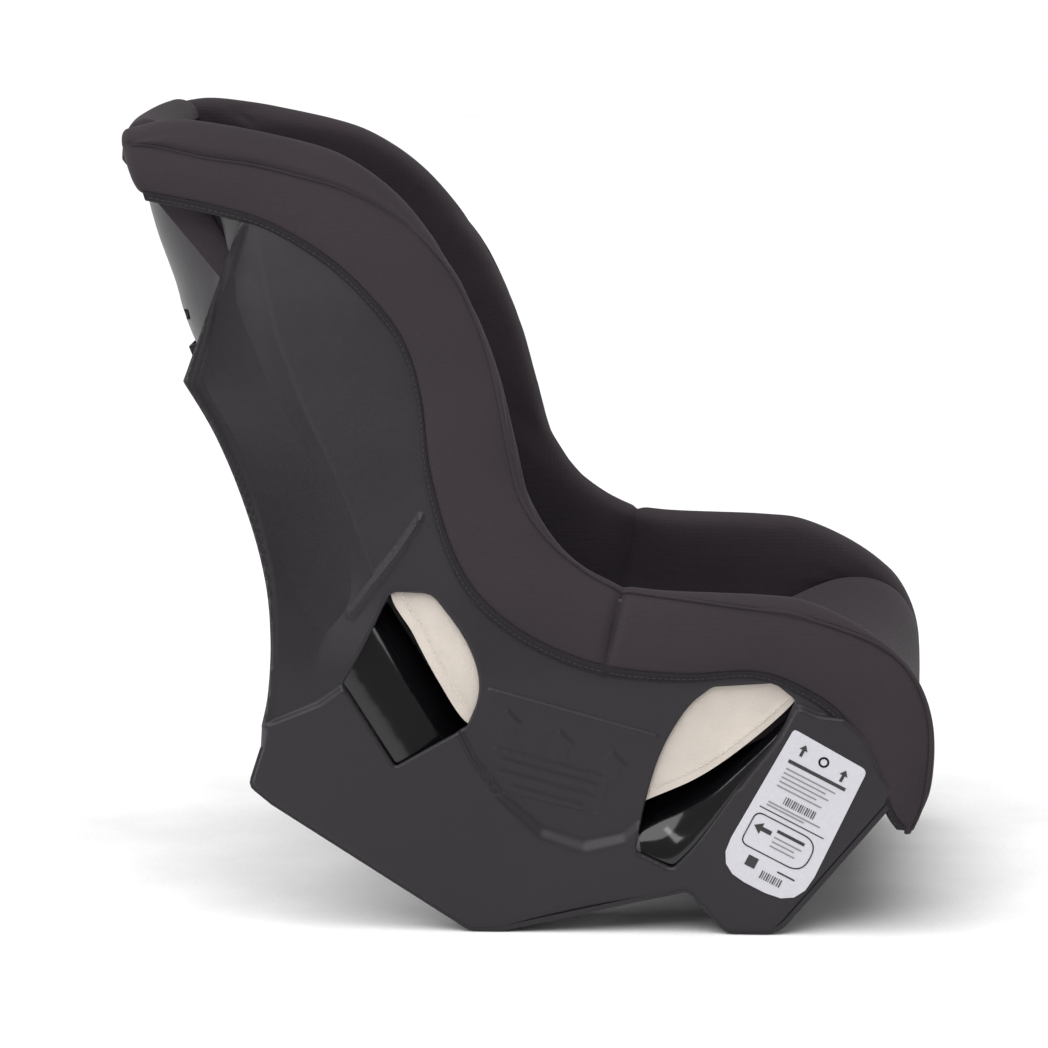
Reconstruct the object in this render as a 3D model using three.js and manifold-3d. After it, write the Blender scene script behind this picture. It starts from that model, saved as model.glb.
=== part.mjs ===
// Convertible child car seat, one moulded shell with a sewn cover and a five-point harness.
// Millimetres. +X is the way the child faces, +Z is up, +Y is the child's left.
// It stands on its keel and its front feet, the way it stands on a flat floor.
import * as THREE from 'three';
import Module from 'manifold-3d';
import { mergeVertices } from 'three/addons/utils/BufferGeometryUtils.js';

const wasm = await Module();
wasm.setup();

// ---- driving dimensions ----
const WALL = 3.8; // side wall sheet
const PANEL = 3.4; // back and pan sheet
const STEP = 4.5; // how far the base stands out of the side wall
const COVER = 8; // padded cover over the rim
const LEAF = 10; // padded cover inside the wings
const LINING = 1.6; // cream backing of the cover
const PAD = 13; // back and seat pad
const CLEAR = 0.4; // gap between pieces
const GUIDE_Y = 165; // inner end of the belt guides
const GUIDE_OUT = 38.6; // how far the belt guides reach out from there
const BIGHT = 13; // the station where the back turns into the seat
const WEB = 38; // harness webbing width
const WEB_T = 1.8; // webbing thickness
const ANCHOR_WEB = 25; // anchor and tether webbing width

const BLACK = 0x39373b, FABRIC = 0x3a343a, CREAM = 0xd8cfc6, WEBBING = 0x2c2b2e;
const STEEL = 0xa9abae, RED = 0xb3201c, TRIM = 0x2b2a2d, LABEL = 0xe4e3e6;

// ---- outlines in the side view, [x, z] ----
// The crest of the padded rim, from the top of the back to the tip of the front drop.
const CREST = [[-294, 575], [-263, 582], [-226, 578], [-166, 567], [-130, 554], [-93, 527],
  [-57, 483], [-35, 443], [-20, 402], [-9, 356], [1, 316], [24, 281], [54, 259], [90, 250],
  [169, 247], [205, 242], [248, 221], [279, 193], [294, 155], [293, 108], [280, 78]];
// The cover's elastic hem on the outside of the wall.
const HEM = [[-282, 529], [-230, 519], [-189, 507], [-144, 481], [-108, 447], [-89, 419], [-78, 383],
  [-71, 330], [-55, 277], [-33, 242], [4, 214], [54, 195], [112, 189], [169, 191], [212, 173],
  [234, 152], [251, 122], [265, 90], [274, 78]];
const FIN = [[-249, 397], [-224, 357], [-202, 306], [-188, 256], [-184, 213], [-186, 175], [-191, 150]];
// The base line of the wall, with the corner radii.
const BASE = [[-192, 134], [-201, 106, 8], [-184, 92], [-40, 0, 12], [-17, 0, 20], [118, 31, 8],
  [146, 0, 14], [184, 0, 22], [284, 118, 6]];
// The top edge of the raised base: guide, U recess, guide, front lobe.
const RISE = [[-189, 152], [-150, 168], [-132, 181], [-94, 121, 3], [-46, 149, 4], [-36, 129], [-15, 102],
  [14, 78], [43, 69], [66, 70], [80, 61, 4], [107, 48, 4], [127, 69], [155, 110], [184, 147], [196, 170, 4],
  [212, 163], [231, 161], [247, 147], [258, 122], [270, 106]];
const REAR_HOLE = [[-132, 181, 3], [-115, 210], [-98, 247, 9], [-68, 246, 16], [-45, 217], [-34, 193],
  [-33, 172], [-42, 151, 3], [-94, 121, 3]];
const FRONT_HOLE = [[80, 61, 4], [87, 98], [98, 135], [117, 167], [135, 181, 12], [180, 184, 8],
  [195, 172, 4],
  [184, 147], [155, 110], [127, 69], [107, 48, 4]];
// The bucket's outer face in the middle and where it meets the side walls, from the top edge
// down the back, round the seat bight and over the front lip, station by station.
const CENTRE = [[-297, 557], [-296, 540], [-294, 520], [-286, 490], [-273, 455], [-264, 425], [-243, 380],
  [-210, 328], [-165, 272], [-125, 228], [-92, 182], [-62, 138], [-30, 95], [5, 66], [45, 58], [85, 70],
  [140, 102], [195, 128], [232, 137], [258, 134], [272, 114], [274, 92]];
const CORNER = [[-290, 558], [-258, 541], [-214, 520], [-197, 492], [-189, 455], [-183, 428], [-165, 380],
  [-140, 330], [-113, 270], [-101, 230], [-71, 182], [-43, 138], [-13, 95], [16, 71], [45, 62], [82, 86],
  [140, 123], [195, 157], [238, 180], [264, 178], [277, 156], [279, 122]];
// The underside of the pad, with room under it for a belt, station by station.
const PAD_CENTRE = [[-290, 556], [-289, 540], [-286, 521], [-279, 492], [-266, 458], [-257, 428],
  [-236, 383],
  [-202, 333], [-152, 281], [-98, 240], [-58, 191], [-29, 147], [0, 106], [20, 84], [46, 76], [74, 100],
  [132, 137], [184, 160], [228, 157], [260, 148], [279, 122], [281, 90]];
const PAD_SIDE = [[-283, 559], [-248, 544], [-205, 522], [-189, 494], [-181, 457], [-175, 430], [-157, 383],
  [-132, 334], [-102, 277], [-87, 238], [-58, 190], [-29, 146], [0, 105], [24, 85], [46, 77], [73, 101],
  [132, 137], [187, 170], [234, 192], [268, 188], [288, 162], [289, 122]];
const SLOT_ROWS = [[-265, 430], [-251, 396], [-232, 362]]; // harness slots, on the back's outer face
const FOLD = [[70, 262], [56, 195], [30, 60]]; // where the back cover meets the seat cover

// ---- curves and solids ----
const v2 = ([x, z]) => new THREE.Vector2(x, z);
const spline = (list, n) => new THREE.SplineCurve(list.map(v2)).getPoints((list.length - 1) * n);
const mix = (table, at) => {
  const i = Math.max(1, table.findIndex(([a]) => a >= at) < 0 ? table.length - 1
    : table.findIndex(([a]) => a >= at));
  const [[a, p], [b, q]] = [table[i - 1], table[i]];
  return p + (q - p) * Math.min(1, Math.max(0, (at - a) / (b - a)));
};

// A polygon whose corners [x, z, r] are rounded with radius r.
function rounded(list, open = false) {
  const out = [];
  list.forEach((c, i) => {
    const p = v2(c), r = c[2] ?? 0;
    if (!r || (open && (i === 0 || i === list.length - 1))) return out.push(p);
    const a = v2(list[(i + list.length - 1) % list.length]).sub(p);
    const b = v2(list[(i + 1) % list.length]).sub(p);
    const half = Math.acos(a.dot(b) / a.length() / b.length()) / 2;
    const back = Math.min(r / Math.tan(half), a.length() * 0.49, b.length() * 0.49);
    const p0 = p.clone().addScaledVector(a.normalize(), back);
    const p1 = p.clone().addScaledVector(b.normalize(), back);
    const n = half < 1.2 ? 4 : 2;
    out.push(...new THREE.QuadraticBezierCurve(p0, p, p1).getPoints(n));
  });
  return out;
}

// The same open line moved sideways, to the right of its direction for d > 0.
function moved(line, d) {
  return line.map((p, i) => {
    const t = line[Math.min(i + 1, line.length - 1)].clone().sub(line[Math.max(i - 1, 0)]).normalize();
    return new THREE.Vector2(p.x + t.y * d, p.y - t.x * d);
  });
}
const strip = (line, a, b) => [...moved(line, a), ...moved(line, b).reverse()];

function body(positions, index) {
  const g = new THREE.BufferGeometry();
  g.setAttribute('position', new THREE.Float32BufferAttribute(positions, 3));
  g.setIndex(index);
  return g;
}

// A three.js geometry as a closed solid that faces out.
function solid(geometry) {
  let g = geometry.clone();
  for (const name of Object.keys(g.attributes)) if (name !== 'position') g.deleteAttribute(name);
  g = mergeVertices(g, 1e-3);
  const p = g.attributes.position.array;
  const t = Uint32Array.from(g.index.array);
  let volume = 0;
  for (let i = 0; i < t.length; i += 3) {
    const [a, b, c] = [0, 1, 2].map(k => new THREE.Vector3().fromArray(p, t[i + k] * 3));
    volume += a.dot(b.cross(c));
  }
  if (volume < 0) for (let i = 0; i < t.length; i += 3) [t[i], t[i + 1]] = [t[i + 1], t[i]];
  return new wasm.Manifold(new wasm.Mesh({ numProp: 3, vertProperties: Float32Array.from(p),
    triVerts: t }));
}

function prism(outline, y0, y1) {
  const g = new THREE.ExtrudeGeometry(new THREE.Shape(outline), { depth: y1 - y0, bevelEnabled: false });
  return solid(g.rotateX(Math.PI / 2).translate(0, y1, 0));
}

// A closed solid between two equal grids of points.
function between(top, under) {
  const n = top.length, m = top[0].length, points = [...top.flat(), ...under.flat()], index = [];
  const at = (k, i, j) => k * n * m + i * m + j;
  const quad = (a, b, c, d) => index.push(a, b, c, a, c, d);
  for (let i = 0; i < n - 1; i++) for (let j = 0; j < m - 1; j++) {
    quad(at(0, i, j), at(0, i + 1, j), at(0, i + 1, j + 1), at(0, i, j + 1));
    quad(at(1, i, j), at(1, i, j + 1), at(1, i + 1, j + 1), at(1, i + 1, j));
  }
  for (let i = 0; i < n - 1; i++) {
    quad(at(0, i, 0), at(1, i, 0), at(1, i + 1, 0), at(0, i + 1, 0));
    quad(at(0, i, m - 1), at(0, i + 1, m - 1), at(1, i + 1, m - 1), at(1, i, m - 1));
  }
  for (let j = 0; j < m - 1; j++) {
    quad(at(0, 0, j), at(0, 0, j + 1), at(1, 0, j + 1), at(1, 0, j));
    quad(at(0, n - 1, j), at(1, n - 1, j), at(1, n - 1, j + 1), at(0, n - 1, j + 1));
  }
  return solid(body(points.flatMap(p => [p.x, p.y, p.z]), index));
}

// Flat webbing: points {at, wide} with the direction of its width at each.
function webbing(points, width, thick = WEB_T) {
  const at = points.map(([p]) => new THREE.Vector3(...p));
  const rows = [[], []];
  points.forEach(([, w], i) => {
    const along = at[Math.min(i + 1, at.length - 1)].clone().sub(at[Math.max(i - 1, 0)]).normalize();
    const wide = new THREE.Vector3(...w);
    wide.addScaledVector(along, -wide.dot(along)).normalize();
    const up = new THREE.Vector3().crossVectors(along, wide).multiplyScalar(thick / 2);
    [up, up.clone().negate()].forEach((u, k) => rows[k].push([-0.5, 0.5].map(s => at[i].clone()
      .addScaledVector(wide, s * width).add(u))));
  });
  return between(rows[0], rows[1]);
}

// A box, or a plate with rounded corners, placed by its own axes.
const axes = (geometry, o, x, y, z) => geometry.applyMatrix4(new THREE.Matrix4()
  .makeBasis(new THREE.Vector3(...x), new THREE.Vector3(...y), new THREE.Vector3(...z)).setPosition(...o));
const box = (x0, x1, y0, y1, z0, z1) => new THREE.BoxGeometry(x1 - x0, y1 - y0, z1 - z0)
  .translate((x0 + x1) / 2, (y0 + y1) / 2, (z0 + z1) / 2);
function plate(w, h, r, z0, z1, cx = 0, cy = 0, edge = 0) {
  const c = [[-w / 2, -h / 2, r], [w / 2, -h / 2, r], [w / 2, h / 2, r], [-w / 2, h / 2, r]];
  return new THREE.ExtrudeGeometry(new THREE.Shape(rounded(c)), { depth: z1 - z0 - 2 * edge,
    bevelEnabled: edge > 0, bevelSize: edge, bevelOffset: -edge, bevelThickness: edge, bevelSegments: 1 })
    .translate(cx, cy, z0 + edge);
}

// ---- the side wall's own surface ----
// How far the wall's outer face is from the middle at height z, and how much the rear fin flares.
const HALF = [[-10, 209], [190, 209], [240, 201], [300, 188], [350, 178], [400, 167], [450, 156],
  [500, 143], [530, 133], [600, 112]];
const FLARE = [[150, 0], [213, 5], [256, 9], [306, 13], [356, 13], [394, 12], [479, 4], [517, 0]];
const CREASE = [[120, -110], [181, -132], [235, -104], [265, -112], [320, -135], [378, -163], [429, -183],
  [490, -197], [517, -201]];
const FIN_X = [[150, -191], [213, -184], [256, -188], [306, -202], [357, -224], [397, -249], [520, -207]];
const wallY = (x, z) => {
  const u = Math.min(1, Math.max(0, (mix(CREASE, z) - x) / (mix(CREASE, z) - mix(FIN_X, z))));
  return mix(HALF, z) + mix(FLARE, z) * u * u;
};

// Everything between two offsets from the wall's outer face, on the child's right (-Y).
function layer(inner, outer) {
  const zs = [-12, 100, 150, 181, 190, 213, 240, 265, 300, 325, 356, 378, 397, 425, 450, 479, 500, 517,
    545, 600];
  const grid = off => zs.map(z => {
    const c = mix(CREASE, z), f = mix(FIN_X, z);
    return [-330, f - 4, f + (c - f) * 0.25, f + (c - f) * 0.5, f + (c - f) * 0.75, c, 330]
      .map(x => new THREE.Vector3(x, -wallY(x, z) - off, z));
  });
  return between(grid(outer), grid(inner));
}

// ---- the bucket's surface ----
const curves = list => new THREE.SplineCurve(list.map(v2));
function surface(centre, corner, margin) {
  const [a, b, last] = [curves(centre), curves(corner), centre.length - 1];
  return (s, f, off = 0) => {
    const flat = 1 - Math.abs(f) ** 2.4;
    const at = u => b.getPoint(u / last).lerp(a.getPoint(u / last), flat);
    const p = at(s), t = at(Math.min(s + 0.05, last)).sub(at(Math.max(s - 0.05, 0))).normalize();
    const [x, z] = [p.x - t.y * off, p.y + t.x * off];
    return new THREE.Vector3(x, f * (wallY(x, z) - margin), z);
  };
}
const shellAt = surface(CENTRE, CORNER, WALL + 1.4);
const padAt = surface(PAD_CENTRE, PAD_SIDE, WALL + LINING + LEAF + 3 * CLEAR);
const ACROSS = [-1, -0.86, -0.66, -0.4, 0, 0.4, 0.66, 0.86, 1];
const stations = (from, to, step) => {
  const n = Math.round((to - from) / step);
  return Array.from({ length: n + 1 }, (_, i) => from + (to - from) * i / n);
};
const padHigh = s => mix([[0, PAD], [18, PAD], [20, COVER], [30, COVER]], s);
const sheet = (at, from, to, step, low, high, across = ACROSS) => between(
  stations(from, to, step).map(s => across.map(f => at(s, f, high(s)))),
  stations(from, to, step).map(s => across.map(f => at(s, f, low))));

// ---- adding pieces ----
const group = new THREE.Group();
function add(name, piece, color, roughness = 0.6, metalness = 0) {
  const m = piece.getMesh();
  const p = new Float32Array(m.numVert * 3);
  for (let i = 0; i < m.numVert; i++) p.set(m.vertProperties.subarray(i * m.numProp, i * m.numProp + 3),
    i * 3);
  const g = body(p, [...m.triVerts]).toNonIndexed();
  g.computeVertexNormals();
  const mesh = new THREE.Mesh(g, new THREE.MeshStandardMaterial({ color, roughness, metalness }));
  mesh.name = name;
  group.add(mesh);
}
const flip = piece => {
  const m = piece.getMesh(), p = [];
  for (let i = 0; i < m.numVert; i++) {
    const [x, y, z] = m.vertProperties.subarray(i * m.numProp, i * m.numProp + 3);
    p.push(x, -y, z);
  }
  return solid(body(p, [...m.triVerts]));
};
// A piece modelled on the child's right, and its mirror image on the left.
function pair(name, piece, ...look) {
  add(`${name}_right`, piece, ...look);
  add(`${name}_left`, flip(piece), ...look);
}
const join = list => list.reduce((a, b) => a.add(b));

// ---- side walls ----
const crest = spline(CREST, 1), hem = spline(HEM, 1), fin = spline(FIN, 2), base = rounded(BASE, true);
const rim = moved(crest, COVER + 1).slice(0, -1), rise = rounded(RISE, true);
const outline = [v2([-207, 520]), ...fin, ...base, ...rim.slice().reverse(), v2([-284, 549])];
const baseShape = [...base, ...rise.slice().reverse()];
const raise = (shape, high = 0.9, low = -1) => prism(shape, -mix(HALF, 0) - high, -mix(HALF, 0) - low);
const arrow = (x, z) => rounded([[-6, -12], [6, -12], [6, -1], [12, -1], [0, 11], [-12, -1], [-6, -1]]
  .map(([a, b]) => [x + a, z + b]));
const frame = rounded([[-25, 137, 6], [60, 114, 6], [54, 84, 6], [-28, 103, 6]]);
const frameHole = rounded([[-22, 133, 4], [56, 112, 4], [51, 88, 4], [-25, 106, 4]]);
const wallHoles = prism(rounded(REAR_HOLE), -240, -150).add(prism(rounded(FRONT_HOLE), -240, -150));
const behind = [...moved(RISE.map(v2), 9), v2([320, 60]), v2([200, -40]), v2([-240, -40]), v2([-240, 120])];
const wall = join([
  prism(outline, -240, 0).intersect(layer(-WALL, 0)).subtract(prism(behind, -240, 0)),
  prism(baseShape, -mix(HALF, 0) - STEP, -mix(HALF, 0) + 1),
  prism(strip(base, 0, -WALL), -mix(HALF, 0) - STEP, -mix(HALF, 0) + 20),
  prism(strip([v2([-212, 504]), ...fin], 0, -5), -240, 0).intersect(layer(-WALL, 2.5)),
  prism(strip([[-78, 299], [-90, 279], [-125, 232]].map(v2), -2, 2), -240, 0).intersect(layer(-1, 2)),
  raise(strip([[-26, 177], [94, 144]].map(v2), -2, 2)),
  ...[[-13, 153], [25, 138], [63, 123]].map(([x, z]) => raise(arrow(x, z))),
  raise(frame).subtract(raise(frameHole, 2, 0)),
]).subtract(wallHoles);
pair('shell_side', wall, BLACK, 0.5);

// ---- bucket: back and pan sheet, belt guides, cross ribs ----
// A belt guide rolls over from the bucket's corner to the edge of the wall's opening.
function guide(corner, edge, n) {
  const [from, to] = [corner, edge].map(list => new THREE.SplineCurve(list.map(v2)));
  const t = v2(corner[corner.length - 1]).sub(v2(corner[0])).normalize();
  const grid = off => stations(0, 1, 1 / n).map(a => stations(0, 1, 0.2).map(b => {
    const k = b * Math.PI / 2, p = from.getPoint(a).lerp(to.getPoint(a), 1 - Math.cos(k));
    const y = GUIDE_Y + CLEAR + (GUIDE_OUT - off) * Math.sin(k);
    return new THREE.Vector3(p.x + t.y * off, -y, p.y - t.x * off);
  }));
  return between(grid(0), grid(3.4));
}
const rearGuide = guide([[-103, 234], [-44, 140]], [[-133, 182], [-93, 121]], 2);
const frontGuide = guide([[80, 86], [102, 99], [126, 114], [148, 128], [170, 142], [193, 156]],
  [[84, 57], [107, 47], [127, 68], [156, 109], [185, 146], [197, 171]], 5);
const notch = join([[[-172, 206], [-100, 239], [-37, 138], [-108, 87]],
  [[73, 91], [197, 169], [235, 105], [106, 36]]]
  .map(c => prism(c.map(v2), -208, -GUIDE_Y)));
const rib = (x, top, foot) => prism([[x - 2, 0], [x + 2, 0], [x + 2, top], [x - 2, top]].map(v2), -204, 204)
  .add(prism([[x - foot, 0], [x + foot, 0], [x + foot, 4], [x - foot, 4]].map(v2), -204, 204))
  .subtract(prism([[x - 9, 16], [x + 9, 16], [x + 9, top - 22], [x - 9, top - 22]].map(v2), -150, -40))
  .subtract(prism([[x - 9, 16], [x + 9, 16], [x + 9, top - 22], [x - 9, top - 22]].map(v2), 40, 150))
  .subtract(prism([[x - 9, top - 34], [x + 9, top - 34], [x + 9, top + 3], [x - 9, top + 3]].map(v2),
    -24, 24));
const flanges = prism(strip(base, 2, -WALL - 0.5), -210, -188.5);
const peg = y => solid(box(160, 214, y - 4, y + 4, 70, 78));
const slotAxis = [0.92, 0, 0.39]; // through the back
const backSlot = ([x, z], y) => solid(axes(box(-16, 46, -21, 21, -4, 4), [x, y, z], slotAxis, [0, 1, 0],
  [-0.39, 0, 0.92]));
const backSlots = join(SLOT_ROWS.flatMap(row => [backSlot(row, -50), backSlot(row, 50)]));
const hipSlots = join([-120, 120].map(y => solid(box(21, 63, y - 4, y + 4, 40, 116))));
const crotchSlot = solid(axes(box(-25, 60, -21, 21, -4, 4), [112, 0, 86], [-0.25, 0, 0.97], [0, 1, 0],
  [-0.97, 0, -0.25]));
const strapSlot = solid(box(218, 227, -21, 21, 110, 190));
const tetherAxes = [[-137, 0, 241], [0.74, 0, 0.67], [0, 1, 0], [-0.67, 0, 0.74]];
const holder = [box(-16, 2, -30, -24, -2.5, 2.5), box(-16, 2, 24, 30, -2.5, 2.5),
  box(-16, -11, -30, 30, -2.5, 2.5)]
  .map(b => solid(axes(b, ...tetherAxes)));
const notches = notch.add(flip(notch));
const cuts = join([backSlots, hipSlots, crotchSlot, strapSlot, flanges, flip(flanges)]);
const panel = (from, to, step) => sheet(shellAt, from, to, step, 0, () => PANEL).subtract(notches);
const around = sheet(shellAt, 0, 21, 0.75, -CLEAR, () => PANEL + CLEAR);
add('shell_back', join([panel(0, BIGHT - 0.01, 0.76), ...holder]).subtract(cuts), BLACK, 0.5);
add('shell_pan', panel(BIGHT + 0.01, 21, 0.72).subtract(cuts), BLACK, 0.5);
const bottom = piece => piece.boundingBox().min[2];
const lowest = piece => piece.decompose().sort((a, b) => bottom(a) - bottom(b))[0];
const ribEnds = box(150, 180, -206, -190, 96, 120);
const ribPiece = piece => lowest(piece.subtract(around).subtract(cuts)
  .subtract(solid(ribEnds)).subtract(flip(solid(ribEnds))));
add('shell_rear_rib', ribPiece(rib(-28, 93, 8)), BLACK, 0.5);
add('shell_front_rib', ribPiece(join([rib(163, 116, 7), peg(-186), peg(186)])), BLACK, 0.5);
pair('rear_belt_guide', rearGuide, BLACK, 0.2);
pair('front_belt_guide', frontGuide, BLACK, 0.2);

// ---- cover: rim bands, pads, cream backing ----
const wider = moved(crest, COVER + 0.5).slice(0, -1);
const room = prism([v2([-330, 500]), ...moved([...fin], 4), v2([-230, 60]), v2([-40, -20]), v2([300, -20]),
  v2([300, 112]), v2([286, 114]), ...wider.slice().reverse(), v2([-293, 520])], -240, 0)
  .intersect(layer(-WALL - LINING - 2 * CLEAR, CLEAR));
const lobeRoom = prism([...moved(rise.slice(-8), -1.4), v2([267.6, 109.5]), v2([284, 124]), v2([288, 120]),
  v2([204, 14]), v2([190, 60])], -mix(HALF, 0) - STEP - CLEAR, -188.4);
const padSide = PAD_SIDE.map(v2);
const INSIDE = -WALL - LINING - 2 * CLEAR;
const band = join([
  prism([...crest, ...hem.slice().reverse()], -240, 0).intersect(layer(-1, COVER)),
  prism([...crest, ...wider.slice().reverse()], -240, 0).intersect(layer(INSIDE - LEAF, COVER)),
  prism([...crest, v2([279, 92]), ...padSide.slice().reverse()], -240, 0)
    .intersect(layer(INSIDE - LEAF, INSIDE)),
]).subtract(room).subtract(lobeRoom);
const foldCut = strip(FOLD.map(v2), -0.3, 0.3);
const wingSide = prism([...FOLD.map(v2), v2([30, -40]), v2([-340, -40]), v2([-340, 640]), v2([70, 640])],
  -240, 0);
const gapCut = prism(foldCut, -240, 0);
pair('cover_wing', band.intersect(wingSide).subtract(gapCut), FABRIC, 0.9);
pair('cover_arm', band.subtract(wingSide).subtract(gapCut), FABRIC, 0.9);
const liningEdge = [[-66, 299], [-92, 258], ...PAD_SIDE.slice(9, 18), [200, 188], [196, 194], [120, 204],
  [60, 210],
  [8, 232], [-34, 268]].map(v2);
pair('cover_backing', prism(liningEdge, -240, 0).intersect(layer(-WALL - CLEAR - LINING, -WALL - CLEAR)),
  CREAM, 0.95);

const padCuts = join([backSlots, hipSlots, crotchSlot, strapSlot,
  solid(box(206, 252, -28.5, 28.5, 164, 200))]);
// The roll that carries the back pad over the shell's top edge and down behind it.
const rollAt = g => {
  const f = g * 0.84;
  const a = shellAt(0, f);
  const on = (t, off) => shellAt(t, a.y / shellAt(t, 1).y, off);
  const loop = [on(1.5, -7), on(0.75, -7), { x: a.x - 7, z: 562 }, { x: a.x - 3, z: 573 },
    { x: a.x + 6, z: 580 },
    { x: a.x + 18, z: 579 }, { x: a.x + 26, z: 570 }, { x: a.x + 27, z: 558 }, { x: a.x + 8, z: 557.5 },
    { x: a.x + 6.6, z: 563 }, { x: a.x - 1.4, z: 563 }, on(0, -1.4), on(0.75, -1.4), on(1.5, -1.4)];
  return loop.map(p => new THREE.Vector3(p.x, a.y, p.z));
};
const rollRows = [-1, -0.76, -0.47, 0, 0.47, 0.76, 1].map(rollAt);
const roll = (() => {
  const n = rollRows[0].length, index = [];
  rollRows.slice(1).forEach((_, i) => rollRows[0].forEach((__, j) => {
    const [a, b] = [i * n + j, i * n + (j + 1) % n];
    index.push(a, b, b + n, a, b + n, a + n);
  }));
  const cap = THREE.ShapeUtils.triangulateShape(rollRows[0].map(p => new THREE.Vector2(p.x, p.z)), []);
  const clockwise = THREE.ShapeUtils.isClockWise(rollRows[0].map(p => new THREE.Vector2(p.x, p.z)));
  const last = (rollRows.length - 1) * n;
  for (const [a, b, c] of cap) index.push(...(clockwise ? [a, b, c] : [a, c, b]),
    ...(clockwise ? [a + last, c + last, b + last] : [a + last, b + last, c + last]));
  return body(rollRows.flat().flatMap(p => [p.x, p.y, p.z]), index);
})();
add('cover_back', sheet(padAt, 0, BIGHT - 0.05, 0.81, 0, padHigh).add(solid(roll)).subtract(padCuts),
  FABRIC, 0.9);
add('cover_seat', sheet(padAt, BIGHT + 0.05, 21, 0.795, 0, padHigh).subtract(padCuts), FABRIC, 0.9);

// ---- harness ----
const Y = [0, 1, 0];
// The buckle's middle, the direction of its length and the direction that its face looks.
const [MID, LEAN, FACE] = [[58, 0, 172], [-0.7071, 0, 0.7071], [0.7071, 0, 0.7071]];
const atBuckle = g => solid(axes(g, MID, Y, LEAN, FACE));
const back = (s, y, off) => {
  const p = shellAt(s, y / 150, off);
  return [p.x, y, p.z];
};
const over = (s, y, off) => {
  const p = padAt(s, y / 150, padHigh(s) + off);
  return [p.x, y, p.z];
};
const wide = list => list.map(p => [p, Y]);
const SPLIT = 7.5; // the splitter plate's station down the back
const splitP = back(SPLIT, 0, -12), splitT = [0.61, 0, -0.79], splitN = [0.79, 0, 0.61];
const nearSplit = (y, down, out) => splitP.map((v, i) => v + down * splitT[i] + out * splitN[i]
  + (i === 1 ? y : 0));
const harness = join([
  webbing([...wide([nearSplit(-26, -9.5, -6), nearSplit(-26, -10, 0), nearSplit(-26, -10.5, 3.2),
    nearSplit(-26.5, -16, 5), back(6.9, -34, -7), back(6.3, -46, -7), [-259, -50, 392.6], [-251, -50, 396],
    [-218, -50, 410]]), [over(5.8, -49.5, 6), [-0.25, 1, -0.1]], [over(6.5, -47, 6), [-0.25, 1, -0.1]],
  ...wide([[-150, -42, 328.3], [-60, -42, 267.6], [0, -32, 227.2], [32, -27.5, 205.8], [29, -27.5, 201]]),
  [[21.5, -28, 193.7], [0, 1, 0]], [[17, -38, 184], [0.35, 0.75, 0.5]], [[28, -60, 165], [0.9, 0.35, 0.3]],
  [[42, -90, 134], [1, 0, 0]], [[42, -118.5, 110], [1, 0, 0]], [[42, -120, 92], [1, 0, 0]],
    [[42, -120, 45], [1, 0, 0]]], WEB),
  solid(box(23, 61, -123.5, -116.5, 41, 47)),
  solid(axes(box(-19, 19, -3, 3, -3, 3), nearSplit(-26, -10, -8), Y, splitT, splitN)),
]);
pair('harness_strap', harness, WEBBING, 0.85);
pair('hip_retainer', solid(box(15, 69, -127, -113, 50, 53)).subtract(solid(box(21, 63, -122.2, -117.8,
  49, 54))), STEEL, 0.4, 0.9);
add('splitter_plate', solid(axes(plate(102, 38, 6, -1.25, 1.25), splitP, Y, splitT.map(v => -v), splitN))
  .subtract(join(
  [[-26, -10], [26, -10], [0, 10]].map(([y, d]) => solid(axes(box(-20.5, 20.5, -2.5, 2.5, -3, 3),
    nearSplit(y, d, 0), Y,
    splitT, splitN))))), STEEL, 0.4, 0.9);

const tongue = atBuckle(plate(14.5, 37, 2, -1.2, 1.2, -12, 16))
  .add(atBuckle(plate(50, 20, 5, -1.2, 1.2, -27.5, 42)))
  .subtract(atBuckle(box(-47.5, -7.5, 38, 45, -3, 3)));
pair('buckle_tongue', tongue, STEEL, 0.35, 0.9);
add('buckle_housing', atBuckle(plate(50, 62, 12, -10, 10, 0, 0, 2)).subtract(join([
  box(-17, 17, -19, 12, -7.2, 14), box(-20.5, -3.5, -5, 33, -2.2, 2.2), box(3.5, 20.5, -5, 33, -2.2, 2.2),
  box(-19.8, 19.8, -33, -21, -1.8, 1.8)].map(atBuckle))), TRIM, 0.45);
add('buckle_button', atBuckle(plate(32, 28, 4, 4.6, 11.8, 0, -3.5, 1)), RED, 0.4);
add('buckle_latch', atBuckle(box(-14, 14, -17, 8, -6.8, -3.6)), STEEL, 0.4, 0.9);
// A round wire spring of four turns.
class Coil extends THREE.Curve {
  getPoint(t) {
    const a = t * 8 * Math.PI;
    return new THREE.Vector3(3.6 * Math.cos(a), 3.6 * Math.sin(a) - 8, -2.6 + 6.2 * t);
  }
}
const wire = new THREE.Shape().absarc(0, 0, 0.6, 0, 2 * Math.PI);
add('buckle_spring', atBuckle(new THREE.ExtrudeGeometry(wire,
  { steps: 36, curveSegments: 3, extrudePath: new Coil() })),
  STEEL, 0.35, 0.9);
add('crotch_strap', webbing(wide([[118, 0, 63], [112, 0, 86], [103, 0, 121], [97.5, 0, 134], [89, 0, 142],
  [79.9, 0, 150.1], [75, 0, 155]]), WEB).add(solid(axes(box(-3, 3, -19, 19, -3, 3), [118.3, 0, 62],
    [0.97, 0, 0.25], Y,
  [-0.25, 0, 0.97]))), WEBBING, 0.85);
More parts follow.
